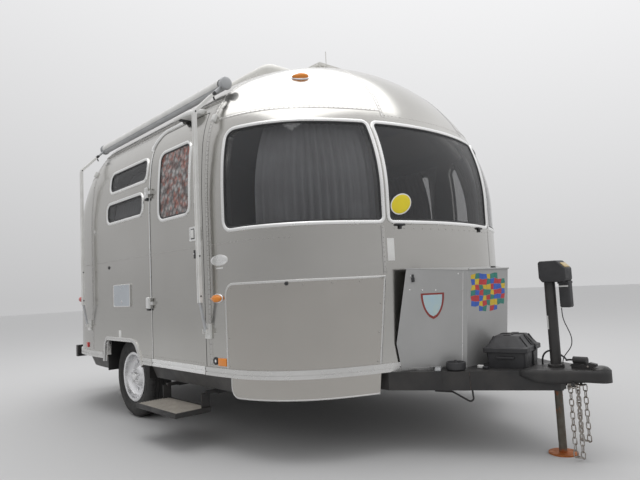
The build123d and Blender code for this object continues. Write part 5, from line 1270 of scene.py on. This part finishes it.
makeFrontFittings()

redBrown = wornFinish("label_red", (0.3, 0.05, 0.04), (0.24, 0.04, 0.035), 0.35, 0.5, 0.0, 12, 200, 0.00003)
skyLabel = wornFinish("label_sky", (0.42, 0.6, 0.74), (0.55, 0.66, 0.6), 0.35, 0.5, 0.0, 9, 200, 0.00003)
patchColours = {
    "red": (0.62, 0.03, 0.04), "yellow": (0.8, 0.56, 0.02), "blue": (0.03, 0.13, 0.6), "green": (0.02, 0.25, 0.2),
}
lockerSet = {"frontX": -0.37, "half": 0.222, "slope": 1.15, "foot": 0.4556, "top": 1.01, "lean": 0.05,
             "patchLow": (-0.185, 0.765), "patchHigh": (0.185, 0.988), "patchRows": 7, "patchColumns": 9}


# a plain shield outline: flat top, sides drawn in to a point by a power of the way down
def shieldPlate(width, height, low, high, steps=12):
    t = np.linspace(0, 1, steps)
    half = width / 2 * np.clip(1 - t**2.1, 0, 1) ** 0.62
    edge = np.column_stack([half, height / 2 - t * height])
    ring = np.concatenate([edge, edge[::-1][1:] * [-1, 1]])
    rows = [np.column_stack([ring * r, np.full(len(ring), h)]) for r, h in ((0, low), (1, low), (1, high), (0, high))]
    return gridShape(np.array(rows), closeV=True)


def makeLockerDetails():
    k = lockerSet
    along = np.array([-1, -k["slope"], 0]) / math.hypot(1, k["slope"])
    tilt = k["lean"] / (k["top"] - k["foot"])
    rising = np.array([tilt, 0, 1]) / math.hypot(tilt, 1)
    normal = np.cross(rising, along)
    normal /= np.linalg.norm(normal)
    frontAt = lambda z: k["frontX"] - (k["top"] - z) * tilt
    onFace = lambda t, z: np.array([frontAt(z), -k["half"], z]) + along * t
    fold, rivets, latches = [], [], []
    for side in (-1, 1):
        flip = np.array([1, -side, 1])
        a, n = along * flip, normal * flip
        spot = lambda t, z: onFace(t, z) * flip
        upright = [spot(0.028, z) for z in evenSpan(k["foot"] + 0.004, k["top"] - 0.003, 0.1)]
        level = [spot(t, k["foot"] + 0.006) for t in evenSpan(0.0, 0.335, 0.1)]
        for line, ridge in ((upright, [(-0.002, -0.001), (0.002, -0.001), (0.001, 0.0015), (-0.001, 0.0015)]),
                            (level, [(-0.006, -0.001), (0.006, -0.001), (0.006, 0.0022), (-0.006, 0.0022)])):
            fold.append(carryProfile(line, np.tile(n, (len(line), 1)), ridge))
        for t, z in ((0.335, 0.915), (0.262, 0.91), (0.185, 0.906), (0.33, 0.994), (0.055, 0.994)):
            rivets.append((spot(t, z), n))
        latches += [boxOn((-0.009, -0.014, -0.001), (0.009, 0.014, 0.013), 0.004, (spot(0.318, 0.972), n)),
                    boxOn((-0.006, 0.008, 0.006), (0.006, 0.03, 0.011), 0.002, (spot(0.318, 0.972), n))]
    makePiece("locker_folds", fold, frameFinish)
    makePiece("locker_rivets", rivetHeads(*zip(*rivets), 0.0052, 0.0022), frameFinish,
              merge=1e-6)
    makePiece("locker_latches", latches, blackPlastic)
    makePiece("lid_knob", softBox((-0.398, 0.066, 1.0125), (-0.378, 0.1, 1.032), 0.005), blackPlastic, "locker_lid")
    place = onFace(0.2, 0.815)
    makePiece("shield_border", setOn(shieldPlate(0.135, 0.15, -0.0005, 0.0009), place, normal), redBrown)
    makePiece("shield_field", setOn(shieldPlate(0.111, 0.124, 0.0003, 0.0013), place + [0, 0, 0.003], normal), skyLabel)
    # a plain patchwork of colours where the photograph has a decal
    rng = np.random.default_rng(11)
    low, high = k["patchLow"], k["patchHigh"]
    ys = np.linspace(low[0], high[0], k["patchColumns"] + 1)
    zs = np.linspace(low[1], high[1], k["patchRows"] + 1)
    shiftY = rng.uniform(-0.007, 0.007, (len(ys), len(zs)))
    shiftZ = rng.uniform(-0.005, 0.005, (len(ys), len(zs)))
    patches = {name: [] for name in patchColours}
    names = list(patchColours)
    last = None
    for i in range(k["patchColumns"]):
        for j in range(k["patchRows"]):
            name = names[(i * 3 + j * 2 + int(rng.integers(0, 2))) % 4]
            name = names[(names.index(name) + 1) % 4] if name == last else name
            last = name
            # the patchwork's edge is ragged: some patches of its first and last rows are missing
            if j == 0 and (abs(i - 4) > 3 or i % 3 == 1) or j == k["patchRows"] - 1 and i > 6:
                continue
            corners = [(ys[a] + shiftY[a, b], zs[b] + shiftZ[a, b])
                       for a, b in ((i, j), (i + 1, j), (i + 1, j + 1), (i, j + 1))]
            middle = np.mean(corners, axis=0)
            ring = [middle + (np.array(c) - middle) * 0.955 for c in corners]
            rows = [[(frontAt(z) + lift, y, z) for y, z in (middle + (r - middle) * grow for r in ring)]
                    for lift, grow in ((-0.0005, 0), (-0.0005, 1), (0.0008, 1), (0.0008, 0))]
            patches[name].append(gridShape(np.array(rows), closeV=True))
    for name, colour in patchColours.items():
        second = tuple(c * 0.85 for c in colour)
        makePiece("patchwork_" + name, patches[name],
                  wornFinish("patch_" + name, colour, second, 0.3, 0.45, 0.0, 20, 200, 0.00003))
    print("locker dressed")


makeLockerDetails()

frameTop = 0.4553
batterySet = {"place": (-0.247, -0.012), "turn": 13.0, "halfWide": 0.1075, "halfLong": 0.145, "foot": frameTop,
              "edgeLow": 0.5403, "edgeHigh": 0.5683, "top": 0.6303, "lap": 0.015, "topHalfWide": 0.067,
              "strapAt": 0.035, "strapWide": 0.038}


# stacked rounded rectangles, each a growth and a height; None closes the stack with a fan
def loopStack(levels, halfX, halfY, corner, step, points=0, innerCorner=None):
    rows = []
    for grow, z in levels:
        g, scale = (0, 0) if grow is None else (grow, 1)
        bend = innerCorner if innerCorner and g <= -0.04 else corner
        x, y = roundedLoop(-halfX - g, halfX + g, -halfY - g, halfY + g, bend, step, 5)
        row = np.stack([x * scale, y * scale, np.full(len(x), z)], -1)
        if points:
            at, known = np.linspace(0, 1, points, endpoint=False), np.linspace(0, 1, len(row) + 1)
            row = rowsAt(at, known, np.append(row, row[:1], 0))
        rows.append(row)
    return gridShape(np.array(rows), closeV=True)


def makeBattery():
    b = batterySet
    c, k = math.cos(math.radians(b["turn"])), math.sin(math.radians(b["turn"]))
    put = lambda shape: moved(shape, [[c, k, 0], [-k, c, 0], [0, 0, 1]], (*b["place"], 0))
    foot, top, low, high, lap = b["foot"], b["top"], b["edgeLow"], b["edgeHigh"], b["lap"]
    half, long, topHalf, y0 = b["halfWide"], b["halfLong"], b["topHalfWide"], b["strapAt"]
    wide, inset = half + lap, half - topHalf
    # lid and base: rounded rectangles that step out at the lid's edge and draw in to the top
    case = loopStack((
        (None, foot), (-0.006, foot), (-0.002, foot + 0.05), (0.0, low - 0.002), (lap - 0.003, low),
        (lap - 0.0005, low + 0.003), (lap - 0.0005, high - 0.004), (lap - 0.004, high), (0.004, high + 0.0015),
        (-0.002, high + 0.006), (-inset + 0.004, top - 0.006), (-inset - 0.002, top - 0.001),
        (-inset - 0.012, top - 0.0005), (None, top - 0.0005)), half, long, 0.016, 0.04, 96)
    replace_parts(makePiece("battery_case", put(case), blackPlastic), "battery_box")
    side = [(half + 0.002, foot + 0.002), (half + 0.002, low - 0.006), (wide + 0.002, low),
            (wide + 0.002, high + 0.002), (topHalf, top + 0.0015)]
    line = bentPath([(x, y0, z) for x, z in side + [(-x, z) for x, z in side[::-1]]], 0.01, 4)
    strap = carryProfile(*flatRun(line, (0, -1, 0)), roundBar(b["strapWide"], 0.003, 0.0012, 2))
    makePiece("battery_strap", put(strap), cordRubber)
    # handles at both ends, ribs down the slopes, caps on the top and the strap's buckle
    details = [softBox((-0.05, -long - 0.011, 0.506), (0.05, -long + 0.004, 0.52), 0.004, axis=0),
               softBox((-0.05, long - 0.004, 0.506), (0.05, long + 0.011, 0.52), 0.004, axis=0)]
    for y in (-0.09, 0.0, 0.09):
        for side in (-1, 1):
            rib = [(side * (half + 0.002), y, high + 0.004), (side * (topHalf + 0.006), y, top - 0.004)]
            details.append(carryProfile(rib, [(side * 0.78, 0, 0.62)] * 2, roundBar(0.012, 0.006, 0.002, 2)))
    details += [softBox((-0.02, y - 0.012, top - 0.002), (0.02, y + 0.012, top + 0.004), 0.004)
                for y in (-0.075, -0.03, 0.08)]
    details.append(softBox((wide + 0.0015, y0 - 0.024, 0.545), (wide + 0.0075, y0 + 0.024, 0.563), 0.002))
    makePiece("battery_details", [put(shape) for shape in details], blackPlastic)
    # loose gear on the frame: a round black tub, a flat grey piece, a pale clip and a connector
    tub = [(0, 0), (0.046, 0), (0.053, 0.006), (0.055, 0.03), (0.0535, 0.043), (0.049, 0.046), (0.044, 0.043),
           (0.04, 0.03), (0.012, 0.028), (0.01, 0.05), (0.006, 0.056), (0, 0.057)]
    makePiece("frame_tub", turnProfile(tub, (-0.418, -0.332, frameTop), (0, 0, 1), 36), blackPlastic)
    # the normal leans by a hair, because setOn needs a level direction across it
    flat = softBox((-0.045, -0.017, 0), (0.045, 0.017, 0.016), 0.005)
    flat = setOn(flat, (-0.497, -0.392, frameTop), (1e-6, 0, 1), 33)
    makePiece("frame_flat_piece", flat, greyPaint)
    makePiece("frame_clip", softBox((-0.352, -0.226, frameTop), (-0.318, -0.204, 0.474), 0.005), labelFinish)
    makePiece("frame_connector", softBox((-0.312, -0.236, frameTop), (-0.282, -0.212, 0.47), 0.004), blackPlastic)
    print("battery made")


makeBattery()

jackSet = {
    "head": [(-0.0395, 0.944), (-0.0395, 1.028), (-0.031, 1.0375), (0.064, 1.0375), (0.1095, 0.994), (0.1095, 0.934),
             (0.1, 0.9205), (-0.022, 0.9205)],
    "headHalf": 0.0445, "tube": 0.0285, "beamTurn": math.radians(33), "ballX": 0.2345, "plateTop": 0.4612,
    "lipZ": 0.4045, "lipHalf": 0.0445,
    "rod": [(-0.5, 0.43, 0.3475), (-0.42, 0.378, 0.343), (-0.325, 0.316, 0.277), (-0.331, 0.318, 0.352)],
    "plate": [(-0.443, 0.357), (-0.327, 0.357), (-0.327, 0.451), (-0.443, 0.451)],
}


def makeJack():
    j = jackSet
    head = softenEdges(makePiece("jack_head_case", prism(j["head"], -j["headHalf"], j["headHalf"]), blackPlastic), 0.006, 3)
    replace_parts(head, "jack_head")
    motor = [softBox((0.0505, -0.0095, 0.7815), (0.1095, 0.0395, 0.924), 0.01, 4),
             softBox((0.0475, -0.0125, 0.91), (0.1097, 0.0425, 0.924), 0.004)]
    makePiece("jack_motor", motor, blackPlastic)
    slope = np.array([0.0435, 0, 0.0455]) / math.hypot(0.0435, 0.0455)
    lens = setOn(softBox((-0.03, -0.02, -0.002), (0.03, 0.016, 0.004), 0.004), (0.0905, 0, 1.0125), slope)
    makePiece("jack_lens", lens, wornFinish("lens_tan", (0.55, 0.42, 0.2), (0.48, 0.36, 0.16), 0.2, 0.35))
    white = [softBox((0.054, -0.0107, 0.893), (0.106, -0.009, 0.9), 0.0008)]
    for low, high, first, last in ((0.665, 0.738, -150, -112), (0.745, 0.84, -152, -147)):
        t = np.radians(np.linspace(first, last, 9))
        arc = np.stack([np.cos(t), np.sin(t)], -1)
        white.append(prism(np.concatenate([(j["tube"] + 0.0007) * arc, (j["tube"] - 0.001) * arc[::-1]]), low, high, 2))
    makePiece("jack_labels", white, labelFinish)
    # a collar at the foot of the tube
    collar = [(0.029, -0.012), (0.043, -0.012), (0.043, 0.0), (0.035, 0.004), (0.029, 0.004)]
    makePiece("jack_collar", turnProfile(collar + collar[:1], (0, 0, 0.4735), (0, 0, 1), 40), blackSteel)
    # coupler: a low dome over the ball, a rolled lip round its foot and a lever
    dome = [(0, 0.0215), (0.018, 0.0205), (0.034, 0.0155), (0.044, 0.0065), (0.0475, 0), (0.0475, -0.002), (0, -0.002)]
    shapes = [turnProfile(dome, (j["ballX"], 0, 0.461), (0, 0, 1), 40)]
    t = np.radians(np.linspace(-90, 90, 19))
    half, z = j["lipHalf"], j["lipZ"]
    arc = np.stack([j["ballX"] + half * np.cos(t), half * np.sin(t), 0 * t + z], -1)
    lip = np.concatenate([[(0.09, -half, z)], arc, [(0.09, half, z)]])
    shapes.append(carryProfile(lip, np.tile([0.0, 0, 1], (len(lip), 1)), roundBar(0.0095, 0.009, 0.004)))
    t = np.radians(np.linspace(-84, 84, 17))
    edge = [(-0.108, -0.2025), (-0.04, -0.169), (0.03, -0.1345), (0.1, -0.1), (0.184, -0.0585)]
    turned = [(j["ballX"] + 0.048 * math.cos(a), 0.048 * math.sin(a)) for a in t]
    plan = np.array(edge + turned + [(x, -y) for x, y in edge[::-1]])
    low = np.interp(plan[:, 0], (-0.108, -0.05, 0.02, 0.1, 0.184), (0.43, 0.4, 0.388, 0.394, 0.3995))
    rows = [np.column_stack([plan, np.full(len(plan), j["plateTop"])])] + [
        np.column_stack([plan, 0.459 + (low - 0.459) * share]) for share in (0.35, 0.7, 1)]
    skirt = makePiece("coupler_skirt", gridShape(np.array(rows)), blackSteel, closed=False)
    thicken(skirt, 0.003, 0.0)
    lever = bentPath([(0.196, 0, 0.481), (0.15, 0, 0.4895), (0.1, 0, 0.4845), (0.082, 0, 0.4725)], 0.02)
    shapes.append(carryProfile(*flatRun(lever, (0, 1, 0)), roundBar(0.026, 0.006, 0.0025)))
    gloss = wornFinish("coupler_gloss", (0.025, 0.025, 0.026), (0.05, 0.048, 0.046), 0.16, 0.4, 0.0, 14, 120, 0.0001)
    makePiece("coupler_dome", shapes, gloss)
    makePiece("coupler_pin", turnProfile(pin(0.005, -0.019, 0.019), (0.176, 0, 0.4755), (0, 1, 0), 16), chainFinish)
    # on each beam a bead of rusty weld round its joint plate, and a bent rod below; beamTurn is the A-frame's angle
    beads, rods = [], []
    sine, cosine = math.sin(j["beamTurn"]), math.cos(j["beamTurn"])
    outer = lambda x: 0.201 + (-0.108 - x) * math.tan(j["beamTurn"])
    for side in (-1, 1):
        ring = np.array([(x, side * (outer(x) + 0.0005), z) for a, b in zip(j["plate"], j["plate"][1:] + j["plate"][:1])
                         for x, z in np.linspace(a, b, 8, endpoint=False)])
        n = np.array([sine, side * cosine, 0])
        wobble = np.random.default_rng(5).normal(0, 0.0009, (len(ring), 3))
        beads.append(carryProfile(ring + wobble, np.tile(n, (len(ring), 1)), roundBar(0.0065, 0.004, 0.0018, 2), True))
        rod = bentPath([(x, side * y, z) for x, y, z in j["rod"]], 0.02)
        rods.append(carryProfile(*flatRun(rod, n), roundRod(0.0052, 10)))
    rust = wornFinish("weld_rust", (0.2, 0.13, 0.1), (0.12, 0.1, 0.09), 0.6, 0.85, 0.2, 60, 200, 0.0002)
    makePiece("weld_beads", beads, rust)
    makePiece("hook_rods", rods, blackSteel)
    print("jack and coupler made")


makeJack()

chainSet = {"x": 0.127, "top": 0.375, "rod": 0.006, "length": 0.044, "width": 0.026, "pitch": 0.0325,
            "chains": ((-0.088, 11), (0.0, 9))}


# a link: a round bar carried round a stadium
def chainLink(centre, along, flat):
    c = chainSet
    half, bow = (c["length"] - c["width"]) / 2, (c["width"] - c["rod"]) / 2
    t = np.radians(np.linspace(-90, 90, 8))
    local = np.concatenate([np.stack([half + bow * np.cos(t), bow * np.sin(t)], -1),
                            np.stack([-half - bow * np.cos(t), -bow * np.sin(t)], -1)])
    along, flat = np.array(along, float), np.array(flat, float)
    path = np.array(centre) + local[:, :1] * along + local[:, 1:] * np.cross(flat, along)
    return carryProfile(path, np.tile(flat, (len(path), 1)), roundRod(c["rod"] / 2, 8), True)


def makeChains():
    c = chainSet
    links, eyes = [], []
    strand, step = (c["length"] - c["rod"]) / 2, c["rod"] - 0.0005
    for y, count in c["chains"]:
        for way in (-1, 1):
            for i in range(count):
                z = c["top"] + step - strand - i * c["pitch"]
                links.append(chainLink((c["x"] + way * strand, y, z), (0, 0, 1),
                                       (0, 1, 0) if i % 2 == 0 else (1, 0, 0)))
        for z in (c["top"], z - strand + step):
            links.append(chainLink((c["x"], y, z), (1, 0, 0), (0, 0, 1)))
        washer = [(0.007, -0.0025), (0.0185, -0.0025), (0.0195, 0), (0.0185, 0.0025), (0.007, 0.0025), (0.007, -0.0025)]
        eyes.append(turnProfile(washer, (c["x"] - 0.0255, y, 0.379), (1, 0, 0), 28))
    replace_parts(makePiece("chain_links", links, chainFinish, smoothAngle=60), "safety_chains")
    makePiece("chain_eyes", eyes, chainFinish)
    print("chains made")


makeChains()

# step: a ribbed tread with a folded edge in a black frame, carried by the sliding body
stepSet = {"x": -1.979, "half": 0.28, "outer": -1.394, "inner": -1.144, "top": 0.235, "ribs": 11}


def makeStep():
    t = stepSet
    rear, front, outer, inner, top = t["x"] - t["half"], t["x"] + t["half"], t["outer"], t["inner"], t["top"]
    tread = [softBox((rear + 0.02, y - 0.0045, top - 0.001), (front - 0.02, y + 0.0045, top + 0.0045), 0.002, 2, axis=0)
             for y in np.linspace(outer + 0.03, inner - 0.03, t["ribs"])]
    tread.append(softBox((rear + 0.014, outer + 0.014, top - 0.002), (front - 0.014, inner - 0.014, top + 0.0012),
                         0.003))
    bars = [softBox((rear + 0.001, y - 0.0055, top - 0.028), (front - 0.001, y + 0.0055, top + 0.004), 0.004, 2, axis=0)
            for y in (outer + 0.006, inner - 0.006)]
    bars += [softBox((x - 0.0055, outer + 0.002, top - 0.028), (x + 0.0055, inner - 0.002, top + 0.004), 0.004, 2,
                     axis=1)
             for x in (rear + 0.006, front - 0.006)]
    mark = softBox((front - 0.1, outer + 0.0005, top - 0.012), (front - 0.06, outer + 0.003, top - 0.002), 0.001)
    makePiece("step_tread", tread, stepTread, "step")
    makePiece("step_frame", bars, blackSteel, "step")
    makePiece("step_mark", mark, yellowLabel, "step")
    print("step made")


makeStep()

# roof and rear fittings
roofSet = {"airRear": -3.05, "airHalf": 0.31, "airTop": 2.823, "ventX": -1.756, "ventHalf": 0.19, "ventTop": 2.658}


def makeRoofAndRear():
    r = roofSet
    top, half, lid = r["airTop"], r["airHalf"], r["ventTop"]
    grille = [softBox((r["airRear"], -0.2, z - 0.004), (r["airRear"] + 0.012, 0.2, z + 0.003), 0.002, 2, axis=1)
              for z in (2.665 + k * 0.014 for k in range(9))]
    ribs = [softBox((-2.95, y - 0.012, top - 0.006), (-2.2, y + 0.012, top - 0.0002), 0.0055, axis=0)
            for y in (-0.2, -0.1, 0.0, 0.1, 0.2)]
    ribs += [softBox((x - 0.011, side * half - 0.004, 2.66), (x + 0.011, side * half + 0.0025, 2.75), 0.003)
             for side in (-1, 1) for x in (-2.44 + k * 0.045 for k in range(6))]
    makePiece("aircon_grille", grille, blackPlastic)
    makePiece("aircon_ribs", ribs, coverWhite)
    vent = loopStack(((None, lid - 0.03), (0.0, lid - 0.03), (0.0065, lid - 0.024), (0.0065, lid - 0.012),
                      (-0.004, lid - 0.003), (-0.05, lid + 0.002), (-0.12, lid + 0.004), (None, lid + 0.004)),
                     r["ventHalf"], r["ventHalf"], 0.03, 0.5, innerCorner=0.02)
    makePiece("vent_lid", moved(vent, np.eye(3), (r["ventX"], 0, 0)), coverWhite)
    # rear access hatch and a plain number-plate place with its lamp
    rim = carryProfile(*endLoop(0.349, 0.641, 0.979, 0.012, -1, 0.008), hatchBead, True)
    makePiece("rear_hatch_rim", rim, frameFinish)
    locks = []
    for y in (-0.26, 0.26):
        spot = endSkin(y, 0.69, -1)
        locks += [setOn(disc(0.0135, 0.006, 0.013), *spot),
                  boxOn((-0.004, -0.016, 0.011), (0.004, 0.016, 0.0165), 0.002, spot)]
    makePiece("rear_hatch_locks", locks, chromeFinish)
    spot = endSkin(-0.58, 0.62, -1)
    makePiece("plate_holder", boxOn((-0.16, -0.08, -0.004), (0.16, 0.08, 0.008), 0.006, spot), blackPlastic)
    makePiece("plate_blank", boxOn((-0.15, -0.072, 0.006), (0.15, 0.072, 0.0105), 0.003, spot), labelFinish)
    makePiece("plate_lamp", boxOn((-0.03, 0.084, -0.003), (0.03, 0.1, 0.02), 0.005, spot), chromeFinish)
    print("roof and rear dressed")


makeRoofAndRear()

archSet = {"corners": [(-3.234, 0.4302), (-3.209, 0.604), (-2.652, 0.604), (-2.534, 0.4302)], "radii": (0.05, 0.11),
           "width": 0.032}


# arch trims: an L section that follows the opening with its two upper corners rounded
def makeArchTrims():
    a = archSet
    first, second, third, last = (np.array(c) for c in a["corners"])
    split, w = (second + third) / 2, a["width"]
    section = [(-0.0015, -0.012), (0.0015, -0.012), (0.0015, 0.0), (0.003, 0.009), (0.007, 0.0118), (w - 0.006, 0.0118),
               (w, 0.008), (w, -0.002), (0.003, -0.002)]
    line = np.concatenate([bentPath([first, second, split], a["radii"][0], 8),
                           bentPath([split, third, last], a["radii"][1], 10)[1:]])
    fine = [line[0]]
    for p, q in zip(line, line[1:]):
        fine += list(np.linspace(p, q, max(1, int(np.linalg.norm(q - p) / 0.03)) + 1)[1:])
    fine = np.array(fine)
    shapes = []
    for side in (-1, 1):
        shapes.append(carryProfile(*sideSkin(fine[:, 0], fine[:, 1], side), [(side * v, n) for v, n in section]))
    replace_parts(makePiece("arch_trims_rounded", shapes, railFinish), "arch_trims")
    print("arch trims made")


makeArchTrims()

setRivets()


# stage: a pale floor, a world that brightens upwards and a little towards the street side, one soft panel overhead
stageSet = {
    "floorTone": 0.56, "horizon": 0.62, "high": 1.0, "highAt": 0.55, "sideShare": 0.16,
    "panelPlace": (-2.6, 0.0, 7.6), "panelSize": (8.0, 8.0), "panelPower": 300,
}


def softPanel(name, place, size, power, aim):
    data = bpy.data.lights.new(name, "AREA")
    data.shape, data.size, data.size_y, data.energy = "RECTANGLE", *size, power
    panel = bpy.data.objects.new(name, data)
    bpy.context.collection.objects.link(panel)
    panel.location = place
    panel.rotation_euler = (Vector(aim) - Vector(place)).to_track_quat("-Z", "Y").to_euler()


def setStage(view):
    tone = view["floorTone"]
    floorFinish = newFinish("floor_pale", (tone, tone, tone), 0.0, 0.85)
    mesh = bpy.data.meshes.new("ground")
    mesh.from_pydata([(-40, -40, 0), (40, -40, 0), (40, 40, 0), (-40, 40, 0)], [], [(0, 1, 2, 3)])
    mesh.materials.append(floorFinish)
    ground = bpy.data.objects.new("ground", mesh)
    bpy.context.collection.objects.link(ground)
    world = bpy.data.worlds.new("studio")
    bpy.context.scene.world = world
    world.use_nodes = True
    tree = world.node_tree
    place = tree.nodes.new("ShaderNodeTexCoord")
    parts = tree.nodes.new("ShaderNodeSeparateXYZ")
    ramp = tree.nodes.new("ShaderNodeValToRGB")
    share = tree.nodes.new("ShaderNodeMath")
    share.operation = "MULTIPLY_ADD"
    share.inputs[1].default_value, share.inputs[2].default_value = view["sideShare"], 1 - view["sideShare"]
    tree.links.new(place.outputs["Generated"], parts.inputs["Vector"])
    tree.links.new(parts.outputs["Z"], ramp.inputs["Fac"])
    tree.links.new(parts.outputs["Y"], share.inputs[0])
    tree.links.new(ramp.outputs["Color"], tree.nodes["Background"].inputs["Color"])
    tree.links.new(share.outputs[0], tree.nodes["Background"].inputs["Strength"])
    stops = ramp.color_ramp.elements
    for stop, position, level in ((stops[0], 0.0, view["horizon"]), (stops[1], view["highAt"], view["high"])):
        stop.position, stop.color = position, (level, level, level * 1.01, 1)
    softPanel("roof_panel_light", view["panelPlace"], view["panelSize"], view["panelPower"],
              (view["panelPlace"][0], view["panelPlace"][1], 0))


setStage(stageSet)
bpy.context.scene.view_settings.view_transform = "Standard"
print("stage set")
